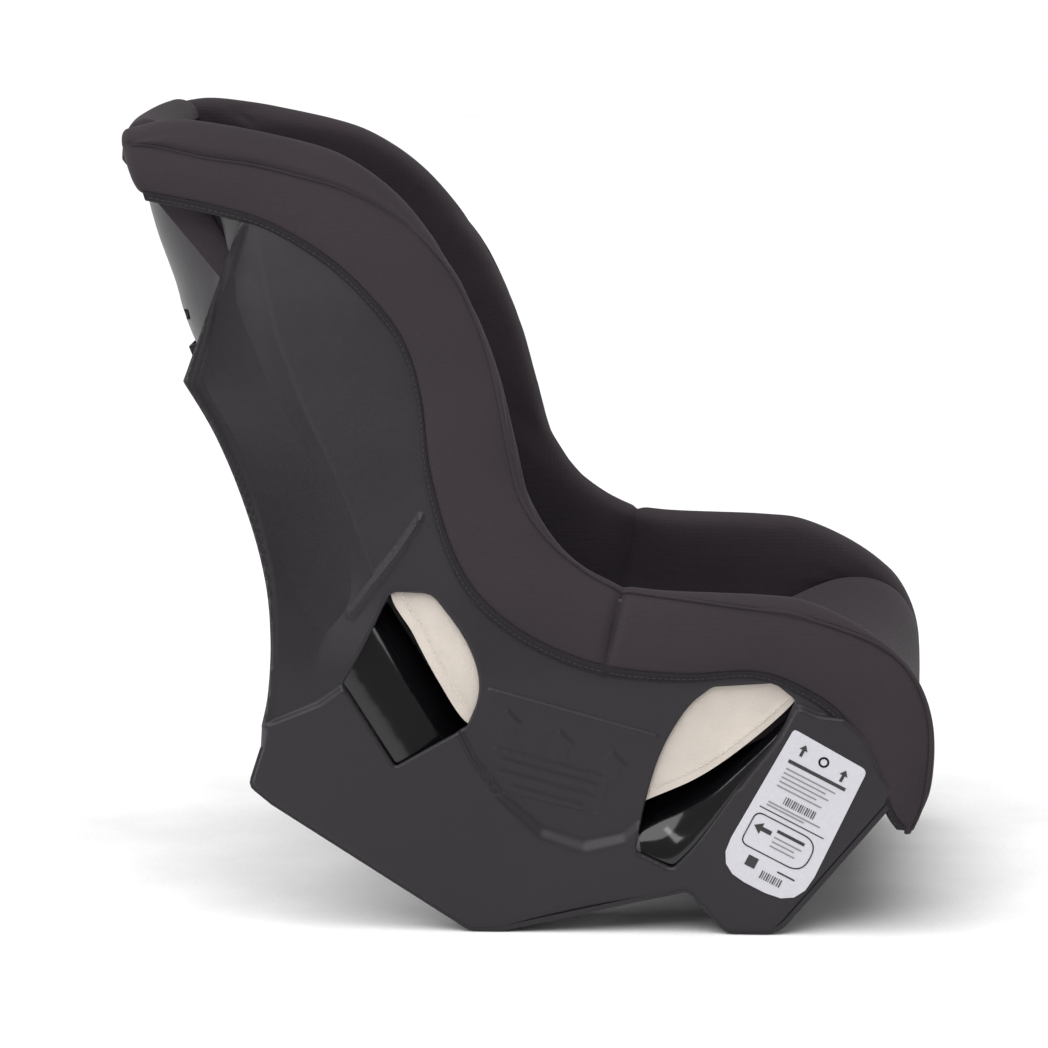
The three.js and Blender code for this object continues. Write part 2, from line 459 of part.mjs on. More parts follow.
add('crotch_retainer', solid(axes(box(-8, 8, -28, 28, -1.5, 1.5), [115.4, 0, 73.3], [0.97, 0, 0.25], Y,
  [-0.25, 0, 0.97]))
  .subtract(solid(axes(box(-2.4, 2.4, -20.5, 20.5, -3, 3), [115.4, 0, 73.3], [0.97, 0, 0.25], Y,
    [-0.25, 0, 0.97]))),
STEEL, 0.4, 0.9);

// The chest clip rides on both straps where they run side by side.
const CLIP = [-105, 0, 298], ALONG = [-0.829, 0, 0.559], OUT = [0.559, 0, 0.829];
const atClip = g => solid(axes(g, CLIP, Y, ALONG, OUT));
add('chest_clip_right', atClip(plate(65, 44, 9, -4.5, 6.5, -33.5, 0, 1.5)).subtract(join([
  box(-61.7, -22.3, -24, 24, -1.5, 1.5), box(-20, 1, -11, 11, -1.8, 3.8)].map(atClip))), TRIM, 0.45);
add('chest_clip_left', atClip(plate(65, 44, 9, -4.5, 6.5, 33.5, 0, 1.5))
  .subtract(atClip(box(22.3, 61.7, -24, 24, -1.5, 1.5)))
  .add(atClip(box(-18, 3, -9.5, 9.5, -1.2, 3.2))), TRIM, 0.45);

// ---- front adjuster ----
const [PIN_X, PIN_Z] = [213.5, 174.2];
add('adjuster_strap', webbing(wide([nearSplit(0, 9.5, -6), nearSplit(0, 10, 0), nearSplit(0, 10.5, 3.2),
  nearSplit(0, 16, 6), ...[[8.3, -3.2], [9, -3.2], [10, -3.2], [11, -3.4], [12, -4], [12.7, -6],
    [13.4, -9], [14, -14],
    [14.6, -30], [15.2, -38], [15.7, -32], [16.2, -16], [17, -6]].map(([s, off]) => back(s, 0, off)),
      [215, 0, 122], [222.5, 0, 132],
  [222.5, 0, 163], [224.5, 0, 167.4], [229, 0, 169], [253, 0, 169], over(18.8, 0, 2.4), over(19.2, 0, 2.4),
  over(19.6, 0, 2.4)]), WEB)
  .add(solid(axes(box(-19, 19, -3, 3, -3, 3), nearSplit(0, 10, -8), Y, splitT, splitN))), WEBBING, 0.85);
add('adjuster_housing', solid(box(206.5, 251.5, -28, 28, 164.5, 175.5)).subtract(join([
  solid(box(218, 227, -20.6, 20.6, 160, 170)), solid(box(218, 253, -20.6, 20.6, 167, 171)),
  solid(box(209, 249, -17, 17, 170, 180)), solid(box(PIN_X - 1.9, PIN_X + 1.9, -23, 23, PIN_Z - 1.9,
    180))])), TRIM, 0.45);
const pin = new THREE.CylinderGeometry(1.4, 1.4, 44, 10).translate(PIN_X, 0, PIN_Z);
add('adjuster_pin', solid(pin), STEEL, 0.35, 0.9);
add('adjuster_lever', join([solid(box(210.6, 247.5, -16, 16, 172.6, 177)),
  solid(box(216, 224, -15, 15, 171.2, 173))])
  .subtract(solid(box(PIN_X - 1.8, PIN_X + 1.8, -17, 17, PIN_Z - 1.8, PIN_Z + 1.8))), TRIM, 0.4);

// ---- lower anchor belt, stored on two pegs behind the front feet ----
const plateAt = (list, x0, x1) => solid(new THREE.ExtrudeGeometry(new THREE.Shape(rounded(list)),
  { depth: x1 - x0,
  bevelEnabled: false }).applyMatrix4(new THREE.Matrix4().set(0, 0, 1, x0, 1, 0, 0, 0, 0, 1, 0, 0, 0, 0,
    0, 1)));
const connector = plateAt([[-150, 58, 3], [-150, 92, 3], [-166, 92, 3], [-180, 88, 4], [-200, 88, 9],
  [-200, 62, 2],
  [-193, 62, 1], [-193, 79, 4], [-175, 79, 4], [-175, 62, 1], [-166, 58, 3]], 192, 197)
  .subtract(solid(box(190, 199, -160.5, -155.5, 61, 89)));
pair('anchor_connector', connector, STEEL, 0.35, 0.9);
pair('anchor_gate', plateAt([[-192.6, 62.4, 1], [-176, 62.4], [-176, 66], [-192.6, 66, 1]], 192.5,
  196.5), STEEL, 0.35, 0.9);
const UP = [0, 0, 1], half = [[189.6, -149], [190, -156], [194.5, -158.4], [199, -156], [199.5, -146],
  [199.5, -40]];
add('anchor_belt', webbing([...half, ...half.slice().reverse().map(([x, y]) => [x, -y])]
  .map(([x, y]) => [[x, y, 75], UP]), ANCHOR_WEB), WEBBING, 0.85);
add('anchor_adjuster', solid(box(193, 207.5, 38, 82, 58, 92)).subtract(solid(box(198, 201, 30, 90, 62, 88)))
  .subtract(solid(box(202.3, 209, 46, 74, 66, 84))), TRIM, 0.45);
add('anchor_release', solid(box(205, 209.6, 47, 73, 67, 83)), RED, 0.4);

// ---- top tether, stored on the back ----
const atTether = g => solid(axes(g, [-137, 0, 241], [0.67, 0, -0.74], [0.74, 0, 0.67], [0, -1, 0]));
const across = (list, w) => atTether(new THREE.ExtrudeGeometry(new THREE.Shape(rounded(list)),
  { depth: w, bevelEnabled: false }).translate(0, 0, -w / 2));
add('tether_hook', across([[-42, -27, 2], [-42, -19.4, 2], [6, -19.4, 2], [6, -9.2, 2], [-9, -9.2],
  [-9, -5.4, 1],
  [12, -5.4, 5], [12, -26, 6]], 5).add(across([[-50, -25], [-50, -21], [-38, -21], [-38, -25]], 33))
  .subtract(across([[-47, -28], [-47, -18], [-43, -18], [-43, -28]], 26.4)), STEEL, 0.35, 0.9);
add('tether_gate', across([[-24, -18.9], [-8, -13.5], [-8, -9.7], [-11, -9.7], [-25.5, -15.8]], 4),
  STEEL, 0.35, 0.9);
const hookP = (t, n) => [-137 + 0.67 * t + 0.74 * n, 0, 241 - 0.74 * t + 0.67 * n];
add('tether_strap', webbing(wide([back(5.5, 0, -4), back(5.75, 0, -5), back(6.05, 0, -12),
  back(6.25, 0, -17),
  back(6.8, 0, -20), back(7.2, 0, -27), back(7.6, 0, -29), hookP(-58, -28.5), hookP(-49, -28),
    hookP(-45.6, -26.5),
  hookP(-45, -23), hookP(-45.6, -19), hookP(-52, -17.5)]), ANCHOR_WEB), WEBBING, 0.85);
const anchorP = back(5.6, 0, -4.2);
const steep = [[0.37, 0, -0.93], [0.93, 0, 0.37]];
add('tether_anchor', solid(axes(box(-8, 8, -20, 20, -3.6, 3.4), anchorP, steep[0], Y, [0.93, 0, 0.37]))
  .subtract(solid(axes(box(-12, 12, -13.2, 13.2, -2.2, 2.2), anchorP, steep[0], Y, [0.93, 0, 0.37]))),
    STEEL, 0.4, 0.9);
const tiltP = back(6.52, 0, -18.5);
const tiltT = v2([back(6.8, 0, -20)[0] - back(6.25, 0, -17)[0],
  back(6.8, 0, -20)[2] - back(6.25, 0, -17)[2]]).normalize();
const atTilt = g => solid(axes(g, tiltP, [tiltT.x, 0, tiltT.y], Y, [-tiltT.y, 0, tiltT.x]));
add('tether_adjuster', atTilt(box(-13, 13, -17, 17, -4.5, 4.5))
  .subtract(atTilt(box(-20, 20, -13.3, 13.3, -2.3, 2.3))),
  TRIM, 0.45);

// ---- labels ----
const label = rounded([[194, 152, 3], [247, 122, 5], [198, 19, 26], [137, 50, 24]]);
pair('label', prism(label, -mix(HALF, 0) - STEP - 0.45, -mix(HALF, 0) - STEP - 0.05), LABEL, 0.5);

// The origin goes under the middle of the seat.
const middle = new THREE.Box3().setFromObject(group).getCenter(new THREE.Vector3());
for (const mesh of group.children) mesh.geometry.translate(-middle.x, 0, 0);

export default group;
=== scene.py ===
"""Convertible child car seat: one moulded shell, a sewn padded cover, webbing and hardware.

Shapes are worked out in millimetres in the drawing frame (+X the way the child faces, +Z up,
+Y the child's left) and moved into the frame's metres by world().
"""

import math

import bpy
import numpy as np
from mathutils import Matrix, Vector

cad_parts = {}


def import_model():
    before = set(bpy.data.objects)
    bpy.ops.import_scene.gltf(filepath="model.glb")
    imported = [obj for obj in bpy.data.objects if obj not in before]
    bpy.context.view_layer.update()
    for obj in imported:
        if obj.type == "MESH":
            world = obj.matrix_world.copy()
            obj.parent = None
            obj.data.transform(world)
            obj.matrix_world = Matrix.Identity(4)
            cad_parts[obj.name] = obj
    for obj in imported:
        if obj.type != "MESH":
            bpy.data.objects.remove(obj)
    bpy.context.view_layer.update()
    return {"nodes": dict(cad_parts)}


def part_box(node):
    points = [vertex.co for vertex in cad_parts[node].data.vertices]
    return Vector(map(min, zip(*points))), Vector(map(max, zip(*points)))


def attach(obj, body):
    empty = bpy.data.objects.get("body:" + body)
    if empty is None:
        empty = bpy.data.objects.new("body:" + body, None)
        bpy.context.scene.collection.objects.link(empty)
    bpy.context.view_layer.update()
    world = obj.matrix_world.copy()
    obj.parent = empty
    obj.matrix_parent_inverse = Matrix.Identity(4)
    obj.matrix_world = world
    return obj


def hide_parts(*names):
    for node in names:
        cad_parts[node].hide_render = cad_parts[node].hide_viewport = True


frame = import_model()

# ---- driving dimensions, millimetres ----
WALL = 3.8  # side wall sheet
PANEL = 3.4  # back and pan sheet
STEP = 4.5  # how far the base stands out of the side wall
EDGE_ROUND = 2.0  # rounding of the side wall's edges
LEAF = 10.0  # padded cover inside the wings
LINING = 1.6  # cream backing of the cover
PAD = 13.0  # back and seat pad
LIP_PAD = 8.0  # seat pad over the front lip
GUIDE_Y = 165.0  # inner end of the belt guides
GUIDE_END = 204.0  # outer end of the belt guides
ROLL = 10.2  # radius of the padded rim
PINCH = 2.6  # how far the rim's faces are drawn in at the fold between wing and arm
PINCH_CREST = 2.4  # how far its crest is drawn in there
PINCH_REACH = 7.0  # length over which the rim is drawn in
BIGHT = 13.0  # station of the fold between the back pad and the seat pad
SIDES = ("right", "left")
PIN_X = 213.5  # the front adjuster's pin, which ties the drawing to the frame

# ---- outlines in the side view, [x, z] ----
CREST = [[-294, 575], [-263, 582], [-226, 578], [-166, 567], [-130, 554], [-93, 527],
         [-57, 483], [-35, 443], [-20, 402], [-9, 356], [1, 316], [24, 281], [54, 259], [90, 250],
         [169, 247], [205, 242], [248, 221], [279, 193], [294, 155], [293, 108], [280, 78]]
HEM = [[-282, 529], [-230, 519], [-189, 507], [-144, 481], [-108, 447], [-89, 419], [-78, 383],
       [-71, 330], [-55, 277], [-33, 242], [4, 214], [54, 195], [112, 189], [169, 191], [212, 173],
       [234, 152], [251, 122], [265, 90], [274, 78]]
SEAM = [[-302, 567], [-273, 563], [-245, 556], [-206, 551], [-168, 542], [-129, 530], [-91, 509],
        [-62, 481], [-42, 448], [-27, 408], [-16, 360], [-6, 318], [16, 284], [47, 260], [70, 249],
        [101, 245], [147, 239], [192, 233], [237, 220], [264, 207], [281, 192], [291, 158], [291, 120],
        [283, 84]]
FIN = [[-249, 397], [-224, 357], [-202, 306], [-188, 256], [-184, 213], [-186, 175], [-191, 150]]
BASE = [[-192, 134], [-201, 106, 8], [-184, 92], [-40, 0, 12], [-17, 0, 20], [118, 31, 8],
        [146, 0, 14], [184, 0, 22], [284, 118, 6]]
RISE = [[-189, 152], [-150, 168], [-132, 181], [-104, 160], [-62, 168], [-46, 149, 4], [-36, 129],
        [-15, 102], [14, 78], [43, 69], [70, 74], [96, 96], [120, 96], [155, 110], [184, 147],
        [196, 170, 4], [212, 163], [231, 161], [247, 147], [258, 122], [270, 106]]
REAR_HOLE = [[-132, 181, 3], [-115, 210], [-98, 247, 9], [-68, 246, 16], [-45, 217], [-34, 193],
             [-33, 172], [-42, 151, 3], [-94, 121, 3]]
FRONT_HOLE = [[80, 61, 4], [87, 98], [98, 135], [117, 167], [135, 181, 12], [180, 184, 8],
              [195, 172, 4], [184, 147], [155, 110], [127, 69], [107, 48, 4]]
CENTRE = [[-297, 557], [-296, 540], [-294, 520], [-286, 490], [-273, 455], [-264, 425], [-243, 380],
          [-210, 328], [-165, 272], [-125, 228], [-92, 182], [-62, 138], [-30, 95], [5, 66],
          [45, 58], [85, 70], [140, 102], [195, 128], [232, 137], [258, 134], [272, 114], [274, 92]]
CORNER = [[-290, 558], [-258, 541], [-214, 520], [-197, 492], [-189, 455], [-183, 428], [-165, 380],
          [-140, 330], [-113, 270], [-101, 230], [-71, 182], [-43, 138], [-13, 95], [16, 71],
          [45, 62], [82, 86], [140, 123], [195, 157], [238, 180], [264, 178], [277, 156], [279, 122]]
PAD_CENTRE = [[-290, 556], [-289, 540], [-286, 521], [-279, 492], [-266, 458], [-257, 428],
              [-236, 383], [-202, 333], [-152, 281], [-98, 240], [-58, 191], [-29, 147], [0, 106],
              [20, 84], [46, 76], [74, 100], [132, 137], [184, 160], [228, 157], [260, 148],
              [279, 122], [281, 90]]
PAD_SIDE = [[-283, 559], [-248, 544], [-205, 522], [-189, 494], [-181, 457], [-175, 430],
            [-157, 383], [-132, 334], [-102, 277], [-87, 238], [-58, 190], [-29, 146], [0, 105],
            [24, 85], [46, 77], [73, 101], [132, 137], [187, 170], [234, 192], [268, 188],
            [288, 162], [289, 122]]
SLOT_ROWS = [[-265, 430], [-251, 396], [-232, 362]]
HALF = [[-10, 209], [190, 209], [240, 201], [300, 188], [350, 178], [400, 167], [450, 156],
        [500, 143], [530, 133], [600, 112]]
FLARE = [[150, 0], [213, 5], [256, 9], [306, 13], [356, 13], [394, 12], [479, 4], [517, 0]]
CREASE = [[120, -110], [181, -132], [235, -104], [265, -112], [320, -135], [378, -163], [429, -183],
          [490, -197], [517, -201]]
FIN_X = [[150, -191], [213, -184], [256, -188], [306, -202], [357, -224], [397, -249], [520, -207]]
LAST = len(CENTRE) - 1  # stations run down the back, round the bight and over the front lip

lo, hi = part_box("adjuster_pin")
SHIFT = (lo[0] + hi[0]) * 500 - PIN_X


def world(points):
    """Drawing millimetres to frame metres."""
    return (np.asarray(points, float) + [SHIFT, 0, 0]) / 1000


# ---- curves ----
def catmull(table, t):
    """The uniform Catmull-Rom curve through table's rows, at t from 0 to 1."""
    p = np.asarray(table, float)
    at = np.clip(np.asarray(t, float), 0, 1) * (len(p) - 1)
    i = np.minimum(at.astype(int), len(p) - 2)
    w = (at - i)[..., None]
    a, b = p[np.maximum(i - 1, 0)], p[i]
    c, d = p[i + 1], p[np.minimum(i + 2, len(p) - 1)]
    return 0.5 * (2 * b + (c - a) * w + (2 * a - 5 * b + 4 * c - d) * w**2
                  + (3 * b - a - 3 * c + d) * w**3)


def smooth_table(table, reach=20):
    """The table read every millimetre, its knees rounded over reach millimetres each way."""
    at = np.arange(-60, 680)
    rows = np.asarray(table, float)
    weight = np.hanning(2 * reach + 1)
    wide = np.pad(np.interp(at, rows[:, 0], rows[:, 1]), reach, mode="edge")
    return at, np.convolve(wide, weight / weight.sum(), mode="valid")


TABLES = {name: smooth_table(table) for name, table in
          {"half": HALF, "flare": FLARE, "crease": CREASE, "fin": FIN_X}.items()}


def read(name, at):
    return np.interp(at, *TABLES[name])


def ease(x, low, high):
    t = np.clip((x - low) / (high - low), 0, 1)
    return t * t * (3 - 2 * t)


def rounded(outline, closed=True):
    """A polygon whose corners [x, z, r] are rounded with radius r."""
    out, n = [], len(outline)
    for i, corner in enumerate(outline):
        p = np.array(corner[:2], float)
        if len(corner) < 3 or (not closed and i in (0, n - 1)):
            out.append(p)
            continue
        a, b = (np.array(outline[j % n][:2], float) - p for j in (i - 1, i + 1))
        la, lb = np.linalg.norm(a), np.linalg.norm(b)
        half = math.acos(a @ b / la / lb) / 2
        back = min(corner[2] / math.tan(half), la * 0.49, lb * 0.49)
        p0, p1 = p + a / la * back, p + b / lb * back
        for t in np.linspace(0, 1, 9):
            out.append((1 - t) ** 2 * p0 + 2 * t * (1 - t) * p + t * t * p1)
    return np.array(out)


def softened(outline, rounds=2):
    """The outline with its plain corners cut, so that long stretches read as curves."""
    for _ in range(rounds):
        after = np.roll(outline, -1, 0)
        outline = np.stack([outline * 0.75 + after * 0.25, outline * 0.25 + after * 0.75], 1).reshape(-1, 2)
    return outline


def moved(line, d):
    """An open line moved sideways, to the right of its direction for d > 0."""
    t = np.gradient(line, axis=0)
    t /= np.linalg.norm(t, axis=1)[:, None]
    return line + d * np.stack([t[:, 1], -t[:, 0]], 1)


def resampled(line, n):
    """n points evenly spaced along a line."""
    step = np.linalg.norm(np.diff(line, axis=0), axis=1)
    at = np.concatenate([[0], np.cumsum(step)])
    return np.stack([np.interp(np.linspace(0, at[-1], n), at, line[:, k])
                     for k in range(line.shape[1])], 1)


def to_stretch(x, z, a, b):
    """Squared distance to the straight stretch from a to b, and how far along it."""
    ex, ez = b[0] - a[0], b[1] - a[1]
    t = np.clip(((x - a[0]) * ex + (z - a[1]) * ez) / max(ex * ex + ez * ez, 1e-12), 0, 1)
    return (x - a[0] - t * ex) ** 2 + (z - a[1] - t * ez) ** 2, t


def signed(outline):
    """Signed distance to a closed outline, negative inside."""
    a = np.asarray(outline, float)
    b = np.roll(a, -1, 0)

    def distance(x, z):
        best, inside = np.full(x.shape, 1e12), np.zeros(x.shape, bool)
        for (ax, az), (bx, bz) in zip(a, b):
            best = np.minimum(best, to_stretch(x, z, (ax, az), (bx, bz))[0])
            if az != bz:
                inside ^= ((az > z) != (bz > z)) & (x < (bx - ax) * (z - az) / (bz - az) + ax)
        return np.where(inside, -1, 1) * np.sqrt(best)
    return distance


def from_line(line, x, z):
    """Distance to an open line, and how far along it, from 0 to 1."""
    best, along = np.full(x.shape, 1e12), np.zeros(x.shape)
    line = np.asarray(line, float)
    n = len(line) - 1
    for k in range(n):
        d, t = to_stretch(x, z, line[k], line[k + 1])
        along = np.where(d < best, (k + t) / n, along)
        best = np.minimum(best, d)
    return np.sqrt(best), along


# ---- the side wall's and the bucket's surfaces ----
def wall_y(x, z):
    """How far the side wall's outer face is from the middle plane."""
    crease = read("crease", z)
    u = np.clip((crease - x) / (crease - read("fin", z)), 0, 1.15)
    return read("half", z) + read("flare", z) * u * u


def surface(centre, corner, margin):
    """A surface across the seat: at(station, f, off) with f from -1 to 1 between the walls."""
    def at(s, f, off=0.0):
        s, f, off = np.broadcast_arrays(np.asarray(s, float), np.asarray(f, float), np.asarray(off, float))
        flat = (1 - np.abs(f) ** 2.4)[..., None]

        def place(k):
            k = np.clip(k, 0, LAST) / LAST
            return catmull(corner, k) * (1 - flat) + catmull(centre, k) * flat
        p, t = place(s), place(s + 0.05) - place(s - 0.05)
        t /= np.linalg.norm(t, axis=-1, keepdims=True)
        x, z = p[..., 0] - t[..., 1] * off, p[..., 1] + t[..., 0] * off
        return np.stack([x, f * (wall_y(x, z) - margin), z], -1)
    return at


shell_at = surface(CENTRE, CORNER, WALL + 1.4)
pad_at = surface(PAD_CENTRE, PAD_SIDE, WALL + LINING + LEAF + 1.2)


def pad_high(s):
    return np.interp(s, [0, 18, 20, 30], [PAD, PAD, LIP_PAD, LIP_PAD])


# ---- meshes ----
def add_mesh(name, points, faces, smooth_angle=40.0):
    """A mesh object from drawing points, with edges sharper than smooth_angle kept sharp."""
    mesh = bpy.data.meshes.new(name)
    mesh.from_pydata(world(points).tolist(), [], [list(map(int, f)) for f in faces])
    mesh.validate()
    mesh.polygons.foreach_set("use_smooth", [True] * len(mesh.polygons))
    mesh.set_sharp_from_angle(angle=math.radians(smooth_angle))
    obj = bpy.data.objects.new(name, mesh)
    bpy.context.scene.collection.objects.link(obj)
    return obj


def flipped(points, faces):
    return points * [1, -1, 1], [f[::-1] for f in faces]


def both_sides(name, points, faces, **more):
    """A piece drawn on the child's right, and its mirror image on the left."""
    points = np.asarray(points, float)
    other_points, other_faces = flipped(points, faces)
    return [add_mesh(name + "_right", points, faces, **more),
            add_mesh(name + "_left", other_points, other_faces, **more)]


def clip_grid(us, vs, distance):
    """The part of a grid where distance(u, v) < 0, cut along its edge: points and faces."""
    u, v = np.meshgrid(us, vs, indexing="ij")
    d = distance(u, v)
    gu, gv = np.gradient(d, us, vs)
    size = np.maximum(gu**2 + gv**2, 0.05)
    cell = np.minimum(np.gradient(us)[:, None], np.gradient(vs)[None, :])
    near = np.abs(d) < 0.32 * cell * np.sqrt(size)
    u, v = np.where(near, u - d * gu / size, u), np.where(near, v - d * gv / size, v)
    d = np.where(near, 0.0, d)
    n, m = d.shape
    node = np.arange(n * m).reshape(n, m)
    corners = np.stack([node[:-1, :-1], node[1:, :-1], node[1:, 1:], node[:-1, 1:]], -1)
    flat_d, points = d.ravel(), list(zip(u.ravel(), v.ravel()))
    count = (flat_d[corners] <= 0).sum(-1)
    faces = corners[count == 4].tolist()
    crossing = {}
    for cell_nodes in corners[(count > 0) & (count < 4)].tolist():
        face = []
        for a, b in zip(cell_nodes, cell_nodes[1:] + cell_nodes[:1]):
            da, db = flat_d[a], flat_d[b]
            if da <= 0:
                face.append(a)
            if (da < 0 < db) or (db < 0 < da):
                key = (min(a, b), max(a, b))
                if key not in crossing:
                    t = da / (da - db)
                    crossing[key] = len(points)
                    points.append(tuple(np.array(points[a]) * (1 - t) + np.array(points[b]) * t))
                face.append(crossing[key])
        if len(face) > 2:
            faces.append(face)
    used = np.zeros(len(points), int)
    for face in faces:
        used[face] = 1
    index = np.cumsum(used) - 1
    return np.array(points)[used == 1], [[int(index[k]) for k in face] for face in faces]


def rim_edges(faces):
    seen = {}
    for face in faces:
        for a, b in zip(face, face[1:] + face[:1]):
            key = (min(a, b), max(a, b))
            seen[key] = None if key in seen else (a, b)
    return [edge for edge in seen.values() if edge]


def slab(outer, inner, faces):
    """A closed solid from one set of faces on an outer and an inner sheet."""
    n = len(outer)
    rim = [[b, a, a + n, b + n] for a, b in rim_edges(faces)]
    return np.concatenate([outer, inner]), faces + [[k + n for k in f[::-1]] for f in faces] + rim


def grid_faces(n, m, wrap_n=False, wrap_m=False):
    out = []
    for i in range(n if wrap_n else n - 1):
        for j in range(m if wrap_m else m - 1):
            a, b = i * m + j, ((i + 1) % n) * m + j
            c, d = ((i + 1) % n) * m + (j + 1) % m, i * m + (j + 1) % m
            out.append([a, b, c, d])
    return out


def loft(rings):
    """A closed solid through equal closed rings of points, its ends capped by fans."""
    n, m = rings.shape[:2]
    points = rings.reshape(-1, 3)
    faces = grid_faces(n, m, wrap_m=True)
    first, last = rings[0].mean(0), rings[-1].mean(0)
    points = np.concatenate([points, [first, last]])
    faces += [[n * m, j, (j + 1) % m] for j in range(m)]
    faces += [[n * m + 1, (n - 1) * m + (j + 1) % m, (n - 1) * m + j] for j in range(m)]
    return points, faces


def outward(points, faces):
    """The same solid with its faces pointing out."""
    p = np.asarray(points)
    volume = 0.0
    for f in faces:
        for k in range(1, len(f) - 1):
            volume += p[f[0]] @ np.cross(p[f[k]], p[f[k + 1]])
    return faces if volume > 0 else [f[::-1] for f in faces]


def tube(path, radius, sides=8):
    """A round tube along a path, closed at its ends."""
    path = np.asarray(path, float)
    t = np.gradient(path, axis=0)
    t /= np.linalg.norm(t, axis=1)[:, None]
    side = np.cross(t, [0, 1, 0.01])
    side /= np.linalg.norm(side, axis=1)[:, None]
    up = np.cross(side, t)
    angle = np.linspace(0, 2 * math.pi, sides, endpoint=False)
    rings = path[:, None] + radius * (np.cos(angle)[None, :, None] * side[:, None]
                                      + np.sin(angle)[None, :, None] * up[:, None])
    points, faces = loft(rings)
    return points, outward(points, faces)


def merged(parts):
    points, faces, n = [], [], 0
    for p, f in parts:
        points.append(p)
        faces += [[k + n for k in face] for face in f]
        n += len(p)
    return np.concatenate(points), faces


def stitches(path, normals, length=3.0, pitch=4.4, high=0.45):
    """Short raised threads along a path."""
    path, normals = np.asarray(path, float), np.asarray(normals, float)
    step = np.linalg.norm(np.diff(path, axis=0), axis=1)
    at = np.concatenate([[0], np.cumsum(step)])

    def place(d, line):
        return np.stack([np.interp(d, at, line[:, k]) for k in range(3)], -1)
    parts = []
    for start in np.arange(pitch, at[-1] - pitch, pitch):
        d = start + length * np.linspace(0, 1, 4)
        p, n = place(d, path), place(d, normals)
        n /= np.linalg.norm(n, axis=1)[:, None]
        parts.append(tube(p + n * (high * np.array([0.2, 1, 1, 0.2]))[:, None], 0.42, 5))
    return merged(parts)


# ---- materials ----
def material(name, color, roughness, metallic=0.0, sheen=0.0, specular=0.5):
    mat = bpy.data.materials.new(name)
    mat.use_nodes = True
    shader = mat.node_tree.nodes["Principled BSDF"]
    for socket, value in {"Base Color": (*color, 1), "Roughness": roughness, "Metallic": metallic,
                          "Sheen Weight": sheen, "Sheen Roughness": 0.45,
                          "Specular IOR Level": specular}.items():
        shader.inputs[socket].default_value = value
    return mat, mat.node_tree.nodes, mat.node_tree.links, shader


def node(nodes, links, kind, inputs=None, **settings):
    """A node with its settings, its inputs set or linked."""
    made = nodes.new(kind)
    for key, value in settings.items():
        setattr(made, key, value)
    for key, value in (inputs or {}).items():
        if isinstance(value, bpy.types.NodeSocket):
            links.new(value, made.inputs[key])
        else:
            made.inputs[key].default_value = value
    return made


def mottled(nodes, links, shader, color, scale, amount, roughness, rough_spread):
    """Colour and roughness that drift gently over the surface."""
    where = node(nodes, links, "ShaderNodeTexCoord").outputs["Object"]
    broad = node(nodes, links, "ShaderNodeTexNoise", {"Vector": where, "Scale": scale, "Detail": 5.0})
    fine = node(nodes, links, "ShaderNodeTexNoise", {"Vector": where, "Scale": scale * 60, "Detail": 3.0})
    both = node(nodes, links, "ShaderNodeMix", {"Factor": 0.35, 2: broad.outputs["Fac"],
                                               3: fine.outputs["Fac"]})
    ramp = node(nodes, links, "ShaderNodeValToRGB", {"Fac": both.outputs[0]})
    for stop, factor in zip(ramp.color_ramp.elements, (1 - amount, 1 + amount)):
        stop.color = (*[min(1.0, c * factor) for c in color], 1)
    ramp.color_ramp.elements[0].position, ramp.color_ramp.elements[1].position = 0.34, 0.66
    links.new(ramp.outputs["Color"], shader.inputs["Base Color"])
    rough = node(nodes, links, "ShaderNodeMapRange", {
        "Value": both.outputs[0], "From Min": 0.35, "From Max": 0.65,
        "To Min": roughness - rough_spread, "To Max": roughness + rough_spread})
    links.new(rough.outputs["Result"], shader.inputs["Roughness"])
    return where


def bumped(nodes, links, shader, height, distance, strength=1.0, over=None):
    inputs = {"Height": height, "Distance": distance, "Strength": strength}
    if over is not None:
        inputs["Normal"] = over
    bump = node(nodes, links, "ShaderNodeBump", inputs)
    links.new(bump.outputs["Normal"], shader.inputs["Normal"])
    return bump.outputs["Normal"]


def plastic(name, color, roughness, spread=0.05, grain=0.00006, specular=0.5):
    """Moulded plastic with a fine grain and faint flow marks."""
    mat, nodes, links, shader = material(name, color, roughness, specular=specular)
    where = mottled(nodes, links, shader, color, 7.0, 0.08, roughness, spread)
    grains = node(nodes, links, "ShaderNodeTexNoise", {"Vector": where, "Scale": 1400.0, "Detail": 2.0})
    flow = node(nodes, links, "ShaderNodeTexNoise", {"Vector": where, "Scale": 26.0, "Detail": 3.0})
    first = bumped(nodes, links, shader, grains.outputs["Fac"], grain)
    bumped(nodes, links, shader, flow.outputs["Fac"], 0.0009, 0.35, over=first)
    return mat


def knit(name, color, gauge=0.0011, sheen=0.35):
    """Fine warp knit: rows of small loops, with a soft sheen and a slight drift in colour."""
    mat, nodes, links, shader = material(name, color, 0.85, sheen=sheen, specular=0.25)
    where = mottled(nodes, links, shader, color, 11.0, 0.16, 0.86, 0.05)
    loops = node(nodes, links, "ShaderNodeTexVoronoi", {"Vector": where, "Scale": 1 / gauge,
                                                        "Randomness": 0.35})
    rows = node(nodes, links, "ShaderNodeTexWave", {"Vector": where, "Scale": 0.32 / gauge,
                                                    "Distortion": 0.8, "Detail": 1.0},
                wave_type="BANDS", bands_direction="Z")
    first = bumped(nodes, links, shader, loops.outputs["Distance"], 0.0004, 0.8)
    bumped(nodes, links, shader, rows.outputs["Fac"], 0.00012, 0.5, over=first)
    return mat


